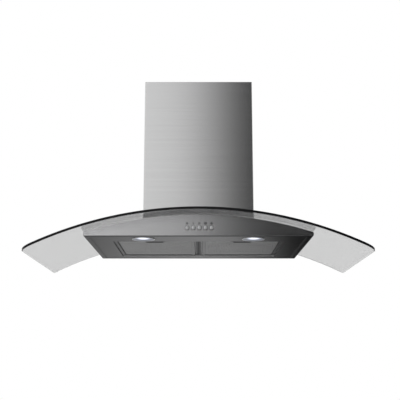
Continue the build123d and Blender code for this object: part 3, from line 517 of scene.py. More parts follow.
def galvanised_steel(name, colour):
    """Zinc coated sheet with a faint crystal pattern."""
    material, shader, graph = new_material(name)
    cells = graph.add("ShaderNodeTexVoronoi")
    cells.inputs["Scale"].default_value = ZINC_CELLS
    graph.link(graph.place("Object"), cells.inputs["Vector"])
    flat = graph.add("ShaderNodeRGBToBW")
    graph.link(cells.outputs["Color"], flat.inputs["Color"])
    fine = graph.noise(ZINC_GRAIN, detail=3.0)
    mixed = graph.weigh(flat.outputs["Val"], fine, ZINC_SHARE)
    graph.link(graph.tint(mixed, colour, ZINC_TONES, ZINC_TONE_REACH), shader.inputs["Base Color"])
    graph.gloss(shader, mixed, *ZINC_ROUGH, ZINC_ROUGH_REACH)
    shader.inputs["Metallic"].default_value = ZINC_METAL
    graph.bump(fine, ZINC_BUMP, ZINC_DEPTH, shader)
    return material


def moulded_plastic(name, colour, roughness=0.45, grain=PLASTIC_GRAIN, gloss=0.5):
    """Moulded plastic with a fine eroded grain."""
    material, shader, graph = new_material(name)
    fine = graph.noise(grain)
    cloud = graph.noise(PLASTIC_CLOUD, detail=3.0)
    graph.link(graph.tint(cloud, colour, PLASTIC_TONES), shader.inputs["Base Color"])
    graph.gloss(shader, fine, roughness - PLASTIC_SMOOTHER, roughness + PLASTIC_ROUGHER)
    shader.inputs["Specular IOR Level"].default_value = gloss
    graph.bump(fine, PLASTIC_BUMP, BUMP_DEPTH, shader)
    return material


def translucent(name, colour, cover):
    """Slightly cloudy translucent finish, for clear silicone and ground glass edges."""
    material, shader, graph = new_material(name)
    cloud = graph.noise(CLOUDY_SCALE, detail=3.0)
    graph.link(graph.tint(cloud, colour, CLOUDY_TONES), shader.inputs["Base Color"])
    graph.gloss(shader, cloud, *CLOUDY_ROUGH)
    shader.inputs["Alpha"].default_value = cover
    return material


def clear_glass(name, colour):
    """Clear pane with a light grey tint."""
    material, shader, graph = new_material(name)
    graph.gloss(shader, graph.noise(HAZE_SCALE), *HAZE_ROUGH, HAZE_REACH)
    shader.inputs["Base Color"].default_value = (*colour, 1)
    shader.inputs["Transmission Weight"].default_value = 1.0
    shader.inputs["IOR"].default_value = GLASS_IOR
    return material


def lens_glow(graph, place, middle, fine):
    """Colour of the light in a lens, brightest before its middle."""
    squeeze = graph.add("ShaderNodeMapping", vector_type="TEXTURE")
    squeeze.inputs["Location"].default_value = (middle.x, middle.y - LAMP_SPOT, middle.z)
    squeeze.inputs["Scale"].default_value = LAMP_SQUEEZE
    graph.link(place, squeeze.inputs["Vector"])
    offset = graph.add("ShaderNodeVectorMath", operation="LENGTH")
    graph.link(squeeze.outputs["Vector"], offset.inputs[0])
    reach = graph.math("ADD", offset.outputs["Value"], graph.math("MULTIPLY", fine, LAMP_FUZZ))
    stops = [(0.0, WHITE), (LAMP_KNEE, LAMP_TONE), (1.0, shade(LAMP_TONE, LAMP_RIM))]
    return graph.ramp(graph.span(reach, *LAMP_REACH), stops)


def lamp_glow(name, middle):
    """Frosted lens that is lit from behind, with chrome beyond its rim."""
    material, shader, graph = new_material(name)
    place = graph.place("Object")
    fine = graph.noise(LAMP_GRAIN)
    graph.link(lens_glow(graph, place, middle, fine), shader.inputs["Emission Color"])
    shader.inputs["Emission Strength"].default_value = LAMP_STRENGTH
    shader.inputs["Base Color"].default_value = (*shade(LAMP_TONE, LAMP_UNLIT), 1)
    graph.gloss(shader, fine, *LAMP_ROUGH)
    chrome = graph.add("ShaderNodeBsdfPrincipled")
    chrome.inputs["Base Color"].default_value = (*CHROME_TONE, 1)
    chrome.inputs["Metallic"].default_value = 1.0
    graph.gloss(chrome, fine, *CHROME_ROUGH)
    plan = graph.add("ShaderNodeVectorMath", operation="DISTANCE")
    plan.inputs[1].default_value = middle
    graph.link(place, plan.inputs[0])
    beyond = graph.math("GREATER_THAN", plan.outputs["Value"], LAMP_FROST_R)
    graph.surface(graph.mix(beyond, shader.outputs["BSDF"], chrome.outputs["BSDF"]))
    return material


def paint(node, material):
    """Gives a CAD node its material."""
    holder = nodes[node]
    if not holder.material_slots:
        holder.data.materials.append(material)
    for slot in holder.material_slots:
        slot.material = material


def mesh_piece(name, body, materials, bm, sharp):
    """Turns a bmesh into a smooth shaded piece that rides on a body."""
    data = bpy.data.meshes.new(name)
    bm.to_mesh(data)
    bm.free()
    for face in data.polygons:
        face.use_smooth = True
    data.set_sharp_from_angle(angle=math.radians(sharp))
    for material in materials:
        data.materials.append(material)
    piece = bpy.data.objects.new(name, data)
    bpy.context.scene.collection.objects.link(piece)
    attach(piece, body)
    return piece


def spaced(start, end, step):
    """Evenly spaced values from start to end, about a step apart."""
    count = max(1, math.ceil(abs(end - start) / step))
    return [start + (end - start) * place / count for place in range(count)] + [end]


def arc(middle, radius, start, turn, steps, squeeze=1.0):
    """Points on an arc in a plane, by degrees; a squeeze makes it part of an ellipse."""
    points = []
    for step in range(steps + 1):
        angle = math.radians(start + turn * step / steps)
        points.append((middle[0] + radius * math.cos(angle), middle[1] + squeeze * radius * math.sin(angle)))
    return points


def circle(middle, radius, steps):
    """Points on a full circle in a plane."""
    return arc(middle, radius, 0, 360, steps)[:-1]


def corner(middle, radius, start, turn, steps=SMALL_CORNER_STEPS):
    """Points on a rounded corner in the plan, without the last one."""
    return arc(middle, radius, start, turn, steps)[:-1]


def run(start, end, count):
    """Points on a straight edge in the plan, without the last one."""
    return [tuple(a + (b - a) * place / count for a, b in zip(start, end)) for place in range(count)]


def glass_outline(inset):
    """Plan of the pane, drawn in by an inset, anticlockwise from the left end of the front edge."""
    low, high = node_box("glass_canopy")
    blower_low, blower_high = node_box("blower_box")
    side = high.x - inset
    front = low.y + inset
    back = high.y - inset
    cut_side = blower_high.x + GLASS_CUTOUT_GAP + inset
    cut_front = blower_low.y - GLASS_CUTOUT_GAP - inset
    round_front = GLASS_FRONT_CORNER - inset
    round_back = GLASS_REAR_CORNER - inset
    round_cut = GLASS_CUTOUT_R + inset
    front_y = front + round_front
    back_y = back - round_back
    cut_y = cut_front + round_cut
    front_x = side - round_front
    back_x = side - round_back
    cut_x = cut_side - round_cut
    points = run((-front_x, front), (front_x, front), FRONT_EDGE_STEPS)
    points += corner((front_x, front_y), round_front, -90, 90, FRONT_CORNER_STEPS)
    points += run((side, front_y), (side, back_y), SIDE_EDGE_STEPS)
    points += corner((back_x, back_y), round_back, 0, 90)
    points += run((back_x, back), (cut_side, back), BACK_EDGE_STEPS)
    points += run((cut_side, back), (cut_side, cut_y), CUTOUT_SIDE_STEPS)
    points += corner((cut_x, cut_y), round_cut, 0, -90)
    points += run((cut_x, cut_front), (-cut_x, cut_front), CUTOUT_FRONT_STEPS)
    points += corner((-cut_x, cut_y), round_cut, -90, -90)
    points += run((-cut_side, cut_y), (-cut_side, back), CUTOUT_SIDE_STEPS)
    points += run((-cut_side, back), (-back_x, back), BACK_EDGE_STEPS)
    points += corner((-back_x, back_y), round_back, 90, 90)
    points += run((-side, back_y), (-side, front_y), SIDE_EDGE_STEPS)
    points += corner((-front_x, front_y), round_front, 180, 90, FRONT_CORNER_STEPS)
    return points


def inside(point, loop):
    """Whether a plan point lies inside a closed loop."""
    found = False
    x, y = point
    for (x0, y0), (x1, y1) in zip(loop, loop[1:] + loop[:1]):
        if (y0 > y) != (y1 > y) and x < x0 + (y - y0) * (x1 - x0) / (y1 - y0):
            found = not found
    return found


def glass_holes():
    """Plan outlines of the screw holes in the pane."""
    places = [(x, y) for x in (-GLASS_SCREW_X, GLASS_SCREW_X) for y in GLASS_SCREW_YS]
    return [circle(place, GLASS_HOLE_R, HOLE_STEPS) for place in places]


def glass_plan(outline, holes):
    """Points and edges of the pane's plan: its outline, its holes and a grid between them."""
    low, high = node_box("glass_canopy")
    plan = []
    edges = []
    for loop in [outline] + holes:
        first = len(plan)
        plan += loop
        edges += [(first + k, first + (k + 1) % len(loop)) for k in range(len(loop))]
    for x in spaced(low.x, high.x, GLASS_GRID_X)[1:-1]:
        for y in spaced(low.y, high.y, GLASS_GRID_Y)[1:-1]:
            clear = all(math.dist((x, y), point) > GLASS_GRID_CLEAR for point in outline)
            if clear and inside((x, y), outline):
                plan.append((x, y))
    return plan, edges


def glass_axis():
    """Height of the axis that the pane is curved about."""
    return node_box("glass_canopy")[1].z - GLASS_R - GLASS_T


def arch(axis_z, radius, x):
    """Height of an arch about an axis along Y."""
    return axis_z + math.sqrt(radius**2 - x**2)


def glass_rim(bm, outline, top, bottom):
    """Edge of the pane with its arrises: near-black along the front, painted shade for the dark look of glass
    seen edge on; ground along the sides.
    """
    low, high = node_box("glass_canopy")
    axis_z = glass_axis()
    rim_top = [bm.verts.new((x, y, arch(axis_z, GLASS_R + GLASS_T, x) - GLASS_ARRIS)) for x, y in outline]
    rim_bottom = [bm.verts.new((x, y, arch(axis_z, GLASS_R, x) + GLASS_ARRIS)) for x, y in outline]
    front_end = low.y + GLASS_FRONT_CORNER + TINY
    side_start = high.x - GLASS_REAR_CORNER - TINY
    count = len(outline)
    for k in range(count):
        after = (k + 1) % count
        finish = PANE_CLEAR
        if max(outline[k][1], outline[after][1]) < front_end:
            finish = PANE_FRONT
        elif min(abs(outline[k][0]), abs(outline[after][0])) > side_start:
            finish = PANE_SIDE
        for lower, upper in ((bottom, rim_bottom), (rim_bottom, rim_top), (rim_top, top)):
            face = bm.faces.new((lower[k], lower[after], upper[after], upper[k]))
            face.material_index = finish


def hole_walls(bm, first, holes, top, bottom):
    """Walls of the screw holes, whose points follow each other from the first."""
    for hole in holes:
        size = len(hole)
        for k in range(size):
            here = first + k
            after = first + (k + 1) % size
            bm.faces.new((top[here], top[after], bottom[after], bottom[here]))
        first += size


def glass_pane(materials):
    """Curved pane with a cut-out for the blower and four screw holes."""
    inner = glass_outline(GLASS_ARRIS)
    holes = glass_holes()
    plan, edges = glass_plan(inner, holes)
    points, _, faces, _, _, _ = delaunay_2d_cdt([Vector(p) for p in plan], edges, [], 0, PLAN_WELD)
    axis_z = glass_axis()
    bm = bmesh.new()
    top = [bm.verts.new((p.x, p.y, arch(axis_z, GLASS_R + GLASS_T, p.x))) for p in points]
    bottom = [bm.verts.new((p.x, p.y, arch(axis_z, GLASS_R, p.x))) for p in points]
    for corners in faces:
        middle = sum((points[k] for k in corners), Vector((0, 0))) / len(corners)
        if not inside(middle, inner) or any(inside(middle, hole) for hole in holes):
            continue
        bm.faces.new([top[k] for k in corners])
        bm.faces.new([bottom[k] for k in reversed(corners)])
    glass_rim(bm, glass_outline(0.0), top, bottom)
    hole_walls(bm, len(inner), holes, top, bottom)
    bmesh.ops.delete(bm, geom=[v for v in bm.verts if not v.link_faces], context="VERTS")
    pane = mesh_piece("glass_pane", "hood", materials, bm, sharp=20.0)
    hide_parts("glass_canopy")


def tube_faces(bm, rings):
    """Faces between rings of corners, with both ends closed."""
    count = len(rings[0])
    for here, after in zip(rings, rings[1:]):
        for k in range(count):
            follow = (k + 1) % count
            bm.faces.new((here[k], here[follow], after[follow], after[k]))
    bm.faces.new(reversed(rings[0]))
    bm.faces.new(rings[-1])


def strip(name, body, rings, material, sharp):
    """Closed strip through rings of points."""
    bm = bmesh.new()
    tube_faces(bm, [[bm.verts.new(point) for point in ring] for ring in rings])
    bmesh.ops.recalc_face_normals(bm, faces=bm.faces)
    mesh_piece(name, body, [material], bm, sharp)


def wrap_path(side, front, back):
    """Plan line round three sides of a box, with the outward direction at each point."""
    path = [((-side, y), (-1, 0)) for y in spaced(back, front + WRAP_CORNER, WRAP_SIDE_STEP)[:-1]]
    for out_x, out_y in arc((0, 0), 1.0, 180, 90, WRAP_CORNER_STEPS):
        place = (-side + WRAP_CORNER * (1 + out_x), front + WRAP_CORNER * (1 + out_y))
        path.append((place, (out_x, out_y)))
    path += [((x, front), (0, -1)) for x in spaced(-side + WRAP_CORNER, 0, WRAP_FRONT_STEP)[1:]]
    return path + [((-x, y), (-out_x, out_y)) for (x, y), (out_x, out_y) in reversed(path[:-1])]


def arched_strip(name, path, profile, radius, material):
    """Strip along a plan line, with its foot on an arch about the axis of the glass."""
    axis_z = glass_axis()
    rings = []
    for (x, y), (out_x, out_y) in path:
        ring = []
        for out, up in profile:
            place_x = x + out_x * out
            ring.append((place_x, y + out_y * out, arch(axis_z, radius, place_x) + up))
        rings.append(ring)
    strip(name, "hood", rings, material, sharp=35.0)


def foot_shade_strip(material):
    """Strip that closes the joint of the chimney with the curved glass; its mid grey stands in for the shade
    there, painted shade.
    """
    low, high = node_box("outer_chimney")
    top = FOOT_GAP + FOOT_H
    profile = [(0, FOOT_GAP), (FOOT_T, FOOT_GAP)]
    profile += arc((FOOT_T - FOOT_ROUND, top - FOOT_ROUND), FOOT_ROUND, 0, 90, WRAP_ROUND_STEPS)
    profile.append((0, top))
    path = wrap_path(high.x, low.y, node_box("glass_canopy")[1].y)
    arched_strip("foot_shade_strip", path, profile, GLASS_R + GLASS_T, material)


def body_hem(material):
    """Rounded hem on the upper edge of the body front and sides."""
    low, high = node_box("canopy_shell")
    up = HEM_H - HEM_ROUND
    profile = [(-HEM_T, -HEM_SINK), (0, -HEM_SINK)]
    profile += arc((-HEM_ROUND, up), HEM_ROUND, 0, 90, WRAP_ROUND_STEPS)
    profile += arc((HEM_ROUND - HEM_T, up), HEM_ROUND, 90, 90, WRAP_ROUND_STEPS)
    path = wrap_path(high.x - HEM_INSET, low.y + HEM_INSET, HEM_BACK)
    arched_strip("body_hem", path, profile, HEM_R, material)


def bead(name, body, x, y0, y1, z, material):
    """Half round bead along Y under a level face."""
    profile = arc((x, z), BEAD_W / 2, 0, -180, BEAD_STEPS, squeeze=2 * BEAD_H / BEAD_W)
    rings = [[(out, y, up) for out, up in profile] for y in spaced(y0, y1, RING_SPACING)]
    strip(name, body, rings, material, sharp=50.0)


def filter_beads(material):
    """Near-black beads at the outer edges of the filter windows and along the middle of the centre bar,
    painted shade in the lines there.
    """
    for side, sign_x in SIDES.items():
        low, high = node_box("filter_frame_" + side)
        edge = sign_x * (max(abs(low.x), abs(high.x)) - FRAME_BORDER + BEAD_W / 2)
        bead("filter_bead_" + side, side + "_filter", edge, low.y + FRAME_BORDER,
             FRAME_REAR - FRAME_BORDER, low.z, material)
    low, high = node_box("filter_centre_bar")
    bead("bar_bead", "hood", 0.0, low.y, high.y, low.z, material)


def bar_edges(material):
    """Satin beads along both edges of the centre bar."""
    low, high = node_box("filter_centre_bar")
    for side, sign_x in SIDES.items():
        bead("bar_edge_" + side, "hood", sign_x * BAR_EDGE_X, low.y, high.y, low.z, material)


def strand(bm, line, z, lean):
    """One zigzag strand of expanded metal along plan points."""
    rings = []
    for x, y in line:
        ring = []
        for across, up in ((-1, -1), (1, -1), (1, 1), (-1, 1)):
            place = (x, y + across * STRAND_W / 2, z + across * lean + up * STRAND_T / 2)
            ring.append(bm.verts.new(place))
        rings.append(ring)
    tube_faces(bm, rings)


def filter_net(side, material):
    """Two layers of expanded metal in the frame of one filter, open round its latch."""
    low, high = node_box("filter_mesh_" + side)
    latch_low, latch_high = node_box("filter_latch_" + side)
    x0 = low.x + MESH_EDGE
    x1 = high.x - MESH_EDGE
    y0 = low.y + MESH_EDGE
    y1 = high.y - MESH_EDGE
    notch_low = latch_low.x - LATCH_ROOM - STRAND_W
    notch_high = latch_high.x + LATCH_ROOM + STRAND_W
    notch_back = latch_high.y + LATCH_TRAVEL + LATCH_ROOM + STRAND_W
    columns = int((x1 - x0) / (MESH_PITCH_X / 2))
    rows = int((y1 - y0) / (MESH_PITCH_Y / 2))
    bm = bmesh.new()
    for layer, level in enumerate(MESH_LEVELS):
        z = low.z + (high.z - low.z) * level
        lean = STRAND_LEAN if layer % 2 else -STRAND_LEAN
        for row in range(rows + 1):
            line = []
            for column in range(columns + 1):
                wave = 1 if (row + column + layer) % 2 else -1
                x = x0 + (x1 - x0) * column / columns
                y = y0 + (y1 - y0) * row / rows + wave * (MESH_PITCH_Y / 4 - STRAND_LAP)
                line.append((x, min(max(y, y0), y1)))
            left = [p for p in line if p[0] < notch_low]
            right = [p for p in line if p[0] > notch_high]
            parts = [left, right] if min(p[1] for p in line) < notch_back else [line]
            for part in parts:
                if len(part) > 1:
                    strand(bm, part, z, lean)
    net = mesh_piece("filter_net_" + side, side + "_filter", [material], bm, sharp=40.0)
    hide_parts("filter_mesh_" + side)


def filter_lip(side, material):
    """Rounded lip along the outer edge of one filter frame."""
    low, high = node_box("filter_frame_" + side)
    outward = SIDES[side]
    edge = low.x if side == "left" else high.x
    profile = [(0, 0)]
    profile += arc((LIP_REACH - LIP_ROUND, LIP_ROUND), LIP_ROUND, -90, 90, LIP_STEPS)
    profile += [(LIP_REACH, LIP_RISE), (0, LIP_RISE)]
    rings = []
    for y in spaced(low.y + LIP_END, high.y - LIP_END, RING_SPACING):
        rings.append([(edge + outward * out, y, low.z + up) for out, up in profile])
    strip("filter_lip_" + side, side + "_filter", rings, material, sharp=40.0)


def rear_light_strip(side, material):
    """Rounded strip under the rear bar of one filter frame; its pale front is painted light."""
    low, high = node_box("filter_frame_" + side)
    front = FRAME_REAR - FRAME_BORDER
    back = FRAME_REAR - REAR_LIP_GAP
    base = low.z - REAR_LIP_H + REAR_LIP_ROUND
    profile = [(front, low.z)]
    profile += arc((front + REAR_LIP_ROUND, base), REAR_LIP_ROUND, 180, 90, REAR_LIP_STEPS)
    profile += arc((back - REAR_LIP_ROUND, base), REAR_LIP_ROUND, 270, 90, REAR_LIP_STEPS)
    profile.append((back, low.z))
    rings = []
    for x in spaced(low.x + LIP_END, high.x - LIP_END, RING_SPACING):
        rings.append([(x, y, z) for y, z in profile])
    strip("rear_light_strip_" + side, side + "_filter", rings, material, sharp=40.0)


def turned(bm, middle, profile):
    """Round piece about a line along Y, from (radius, y) points; a radius of zero closes an end."""
    loops = []
    for radius, y in profile:
        if radius == 0:
            loops.append([bm.verts.new((middle[0], y, middle[1]))])
        else:
            loops.append([bm.verts.new((x, y, z)) for x, z in circle(middle, radius, TURN_STEPS)])
    for here, after in zip(loops, loops[1:]):
        for turn in range(TURN_STEPS):
            follow = (turn + 1) % TURN_STEPS
            corners = [here[turn % len(here)], here[follow % len(here)]]
            corners += [after[follow % len(after)], after[turn % len(after)]]
            bm.faces.new(list(dict.fromkeys(corners)))
    bmesh.ops.recalc_face_normals(bm, faces=bm.faces)


def button_middle(name):
    """Middle of a button in the front view."""
    low, high = node_box("button_" + name)
    return (low.x + high.x) / 2, (low.z + high.z) / 2


def button_cap(name, material):
    """Domed metal cap on the face of one button."""
    low, high = node_box("button_" + name)
    flat = (high.x - low.x) / 2 - CAP_INSET - CAP_ROUND
    profile = [(0, low.y)]
    profile += arc((flat, low.y), CAP_ROUND, 0, -90, CAP_EDGE_STEPS, squeeze=CAP_EDGE / CAP_ROUND)
    for step in range(1, CAP_DOME_STEPS):
        reach = 1 - step / CAP_DOME_STEPS
        profile.append((flat * reach, low.y - CAP_EDGE - CAP_DOME * (1 - reach**2)))
    profile.append((0, low.y - CAP_EDGE - CAP_DOME))
    bm = bmesh.new()
    turned(bm, button_middle(name), profile)
    mesh_piece("button_cap_" + name, name + "_button", [material], bm, sharp=50.0)


def button_ring(name, material):
    """Thin dark bush in the front panel about one button."""
    front = node_box("canopy_shell")[0].y
    profile = arc((BUSH_R, front), BUSH_TUBE, 0, -180, BUSH_STEPS)
    profile.append(profile[0])
    bm = bmesh.new()
    turned(bm, button_middle(name), profile)
    bmesh.ops.remove_doubles(bm, verts=bm.verts, dist=TINY)
    mesh_piece("button_ring_" + name, "hood", [material], bm, sharp=60.0)


def bar(bm, x, z, width, height, front):
    """Thin raised bar on the front panel, about a middle."""
    made = bmesh.ops.create_cube(bm, size=1.0)
    middle = Vector((x, front - SIGN_T / 2, z))
    size = Vector((width, SIGN_T, height))
    for vert in made["verts"]:
        vert.co = Vector(a * b for a, b in zip(vert.co, size)) + middle


def hoop(bm, x, z, radius, width, front):
    """Thin raised ring on the front panel."""
    loops = []
    for reach in (radius - width / 2, radius + width / 2):
        for depth in (front, front - SIGN_T):
            around = circle((x, z), reach, HOOP_STEPS)
            loops.append([bm.verts.new((place_x, depth, place_z)) for place_x, place_z in around])
    inner_back, inner_front, outer_back, outer_front = loops
    order = [inner_back, outer_back, outer_front, inner_front, inner_back]
    for here, beside in zip(order, order[1:]):
        for turn in range(HOOP_STEPS):
            after = (turn + 1) % HOOP_STEPS
            bm.faces.new((here[turn], here[after], beside[after], beside[turn]))


def sign(name, kind, material):
    """Small raised sign over a button: a ring for off, one to three bars for speed, rays for light."""
    x, _ = button_middle(name)
    front = node_box("canopy_shell")[0].y
    bm = bmesh.new()
    if kind == "ring":
        hoop(bm, x, SIGN_Z, (SIGN_H - SIGN_LINE) / 2, SIGN_LINE, front)
    elif kind == "rays":
        hoop(bm, x, SIGN_Z, SIGN_RAYS_R, SIGN_LINE * SIGN_RAYS_LINE, front)
        for reach in (-SIGN_RAYS_REACH, SIGN_RAYS_REACH):
            bar(bm, x, SIGN_Z + reach, SIGN_LINE, SIGN_LINE, front)
            bar(bm, x + reach, SIGN_Z, SIGN_LINE, SIGN_LINE, front)
    else:
        for place in range(kind):
            aside = (place - (kind - 1) / 2) * SIGN_LINE * SIGN_BAR_PITCH
            bar(bm, x + aside, SIGN_Z, SIGN_LINE, SIGN_H, front)
    bmesh.ops.recalc_face_normals(bm, faces=bm.faces)
    mesh_piece("sign_" + name, "hood", [material], bm, sharp=30.0)


def ray_kinds(graph):
    """Rays that show the white backdrop, rays that leave glass after a reflection, and second reflections."""
    path = graph.add("ShaderNodeLightPath")
    glass = path.outputs["Is Transmission Ray"]
    depth = path.outputs["Glossy Depth"]
    through = graph.math("MULTIPLY", glass, graph.math("LESS_THAN", depth, ONE_REFLECTION))
    seen = graph.math("MAXIMUM", path.outputs["Is Camera Ray"], through)
    veiled = graph.math("SUBTRACT", glass, through)
    twice = graph.math("GREATER_THAN", depth, TWO_REFLECTIONS)
    return seen, veiled, twice


def front_level(graph, side, z, veiled, twice):
    """Light in front of the hood: bright on the left, dark on the right and even far out."""
    falling = graph.span(side, *FRONT_FALL, FRONT_BRIGHT, FRONT_DARK)
    lifted = graph.math("ADD", falling, graph.span(side, *FRONT_LIFT, FRONT_EXTRA, 0.0))
    far_left = graph.span(side, *FAR_LEFT, FAR_LEVEL, FAR_OPEN)
    far_right = graph.span(side, *FAR_RIGHT, 0.0, FAR_LEVEL)
    around = graph.math("MAXIMUM", graph.math("MINIMUM", lifted, far_left), far_right)
    low = graph.span(z, *FRONT_LOW, FRONT_LOW_DIM, 0.0)
    dim = graph.math("MULTIPLY", low, graph.span(side, *FRONT_LOW_SIDE))
    gain = graph.math("ADD", 1.0, graph.math("MULTIPLY", veiled, FRONT_VEILED))
    fade = graph.flip(graph.math("MULTIPLY", twice, FRONT_TWICE))
    lit = graph.math("MULTIPLY", around, graph.math("MULTIPLY", gain, fade))
    return graph.math("MULTIPLY", lit, graph.flip(dim))


def back_level(graph, side, z):
    """Light behind the hood: white above the horizon, and below it dark to the sides."""
    rise = graph.span(side, *LOW_RISE, LOW_LEFT, LOW_MIDDLE)
    fall = graph.span(side, *LOW_FALL, 1.0, LOW_RIGHT)
    low = graph.math("MULTIPLY", rise, fall)
    high = graph.span(z, *HORIZON)
    return graph.math("ADD", graph.math("MULTIPLY", low, graph.flip(high)), high)


def studio_world():
    """White backdrop, with a bright left side and a dark right side for the metal to show."""
    world = bpy.data.worlds.new("studio")
    world.use_nodes = True
    bpy.context.scene.world = world
    graph = Graph(world.node_tree)
    x, y, z = graph.parts(graph.place("Generated"))
    side = graph.math("DEGREES", graph.math("ARCTAN2", x, graph.math("ABSOLUTE", y)))
    seen, veiled, twice = ray_kinds(graph)
    front = front_level(graph, side, z, veiled, twice)
    back = back_level(graph, side, z)
    behind = graph.span(y, *BEHIND)
    before = graph.math("MULTIPLY", front, graph.flip(behind))
    level = graph.math("ADD", graph.math("MULTIPLY", back, behind), before)
    background = world.node_tree.nodes["Background"]
    background.inputs["Color"].default_value = (*WHITE, 1)
    graph.link(graph.math("MAXIMUM", level, seen), background.inputs["Strength"])


def floor_paper():
    """Pale paper that fades into the white backdrop at its rim and is dim on the right in metal."""
    material, shader, graph = new_material("floor_paper")
    shader.inputs["Roughness"].default_value = FLOOR_ROUGH
    place = graph.place("Object")
    x, _, _ = graph.parts(place)
    length = graph.add("ShaderNodeVectorMath", operation="LENGTH")
    graph.link(place, length.inputs[0])
    rim = graph.span(length.outputs["Value"], *FLOOR_FADE)
    path = graph.add("ShaderNodeLightPath")
    dim = graph.span(x, *FLOOR_DIM_SIDE, 0.0, FLOOR_DIM)
    shown = graph.flip(graph.math("MULTIPLY", dim, path.outputs["Is Glossy Ray"]))
    graph.link(graph.math("MULTIPLY", shown, FLOOR_TONE), shader.inputs["Base Color"])
    seen = graph.math("MAXIMUM", path.outputs["Is Camera Ray"], path.outputs["Is Transmission Ray"])
    glow = graph.add("ShaderNodeEmission")
    fade = graph.math("MULTIPLY", rim, seen)
    graph.surface(graph.mix(fade, shader.outputs["BSDF"], glow.outputs["Emission"]))
    return material


def studio_floor():
    """Pale round floor."""
    bm = bmesh.new()
    bmesh.ops.create_circle(bm, cap_ends=True, radius=FLOOR_R, segments=FLOOR_SIDES)
    data = bpy.data.meshes.new("studio_floor")
    bm.to_mesh(data)
    bm.free()
    data.materials.append(floor_paper())
    floor = bpy.data.objects.new("studio_floor", data)
    floor.location = (0, FLOOR_Y, FLOOR_Z)
    bpy.context.scene.collection.objects.link(floor)


def key_light():
    """Large soft square lamp aimed at the hood."""
    data = bpy.data.lights.new("key_light", "AREA")
    data.size = KEY_SIZE
    data.energy = KEY_POWER
    lamp = bpy.data.objects.new("key_light", data)
    lamp.location = KEY_PLACE
    lamp.rotation_euler = (Vector(KEY_TARGET) - Vector(KEY_PLACE)).to_track_quat("-Z", "Y").to_euler()
    bpy.context.scene.collection.objects.link(lamp)


def photo_camera():
    """Camera at the photo's place and tilt."""
    data = bpy.data.cameras.new("photo_camera")
    data.sensor_width = SENSOR
    data.lens = LENS
    camera = bpy.data.objects.new("photo_camera", data)
    camera.location = CAMERA_PLACE
    camera.rotation_euler = (math.radians(90 + CAMERA_PITCH), 0, 0)
    bpy.context.scene.collection.objects.link(camera)
    bpy.context.scene.camera = camera


# Finishes of the CAD nodes by material slot
chimney_steel = brushed_steel("chimney_steel", CHIMNEY_UPRIGHT, CHIMNEY_LEVEL_SHADE, CHIMNEY_ROUGH)
# Body steel: the chimney's steel in darker colours, painted shade
body_steel = brushed_steel("body_steel", BODY_UPRIGHT_SHADE, BODY_LEVEL_SHADE, BODY_ROUGH)
finishes = {
    "brushed_steel": body_steel,
    "galvanised_steel": galvanised_steel("galvanised_steel", (0.58, 0.59, 0.6)),
    "dark_bar": satin_metal("dark_bar", (0.185, 0.185, 0.19), roughness=0.45, edge=0.6),
    "seal_rubber": translucent("seal_silicone", (0.7, 0.7, 0.7), cover=0.08),
    "screw_steel": satin_metal("screw_steel", (0.68, 0.68, 0.69), roughness=0.25),
    "fan_plastic": moulded_plastic("fan_plastic", (0.035, 0.036, 0.04)),
    "motor_paint": moulded_plastic("motor_paint", (0.09, 0.09, 0.1), roughness=0.38, grain=700.0),
    "capacitor_case": moulded_plastic("capacitor_case", (0.72, 0.71, 0.66), roughness=0.4),
    "collar_plastic": moulded_plastic("collar_plastic", (0.045, 0.046, 0.05)),
    "terminal_plastic": moulded_plastic("terminal_plastic", (0.06, 0.06, 0.065)),
    "button_metal": satin_metal("button_metal", (0.66, 0.66, 0.67), roughness=0.4),
    "lamp_can": satin_metal("lamp_can", (0.6, 0.6, 0.61), roughness=0.4),
    "filter_frame": satin_metal("filter_frame", (0.1, 0.1, 0.105), roughness=0.27, edge=0.8),
    "filter_mesh": satin_metal("filter_mesh", (0.357, 0.357, 0.359), roughness=0.28),
    "latch_plastic": moulded_plastic("latch_plastic", (0.09, 0.09, 0.093), roughness=0.4),
}
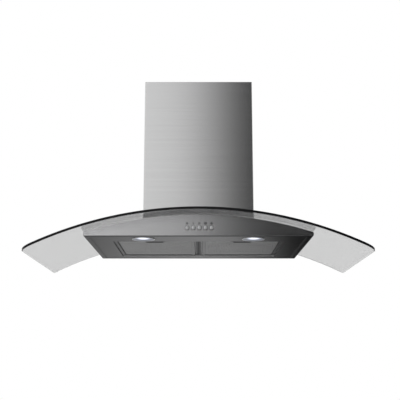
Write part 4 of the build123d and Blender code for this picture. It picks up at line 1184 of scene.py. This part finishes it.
for part in frame["record"]["subparts"]:
    if part["material_slot"] in finishes:
        paint(part["node"], finishes[part["material_slot"]])

# Nodes with a finish of their own
for node in ("outer_chimney", "inner_chimney"):
    paint(node, chimney_steel)
for side in SIDES:
    lens_low, lens_high = node_box("lamp_lens_" + side)
    glow = lamp_glow("lamp_glow_" + side, (lens_low + lens_high) / 2)
    paint("lamp_lens_" + side, glow)
    paint("lamp_bezel_" + side, glow)
# Panel steel with painted light: pale and matt on faces that look to the front
panel_steel = brushed_steel("panel_steel", BODY_UPRIGHT_SHADE, BODY_LEVEL_SHADE, BODY_ROUGH, painted_light_fronts=True)
for node in ("underside_panel", "recess_walls"):
    paint(node, panel_steel)
paint("top_panel", moulded_plastic("panel_enamel", (0.58, 0.58, 0.58), roughness=0.5))
pane_glass = clear_glass("pane_glass", (0.642, 0.644, 0.644))
paint("glass_canopy", pane_glass)

# Fine pieces
# Near-black front edge of the pane: painted shade
pane_front_shade = moulded_plastic("pane_front_shade", (0.008, 0.008, 0.009), roughness=0.25, gloss=0.15)
pane_side = translucent("pane_side", (0.85, 0.86, 0.86), cover=0.35)
glass_pane([pane_glass, pane_front_shade, pane_side])
# Its mid grey is painted shade at the foot of the chimney
foot_shade_strip(moulded_plastic("foot_shade_plastic", (0.53, 0.53, 0.535)))
body_hem(body_steel)
bar_edges(finishes["screw_steel"])
# Near-black beads: painted shade along the filter windows and the centre bar
filter_beads(moulded_plastic("bead_shade_line", (0.02, 0.02, 0.022), roughness=0.5, gloss=0.2))
for side in SIDES:
    filter_net(side, finishes["filter_mesh"])
    filter_lip(side, finishes["filter_frame"])
    # Rear strips with painted light on their pale fronts
    rear_light_strip(side, panel_steel)
print_ink = moulded_plastic("print_ink", (0.02, 0.02, 0.022), roughness=0.5)
for name, kind in (("off", "ring"), ("low", 1), ("medium", 2), ("high", 3), ("light", "rays")):
    button_cap(name, finishes["button_metal"])
    button_ring(name, finishes["dark_bar"])
    sign(name, kind, print_ink)

# Studio and camera
studio_world()
studio_floor()
key_light()
photo_camera()
bpy.context.scene.view_settings.view_transform = "Standard"
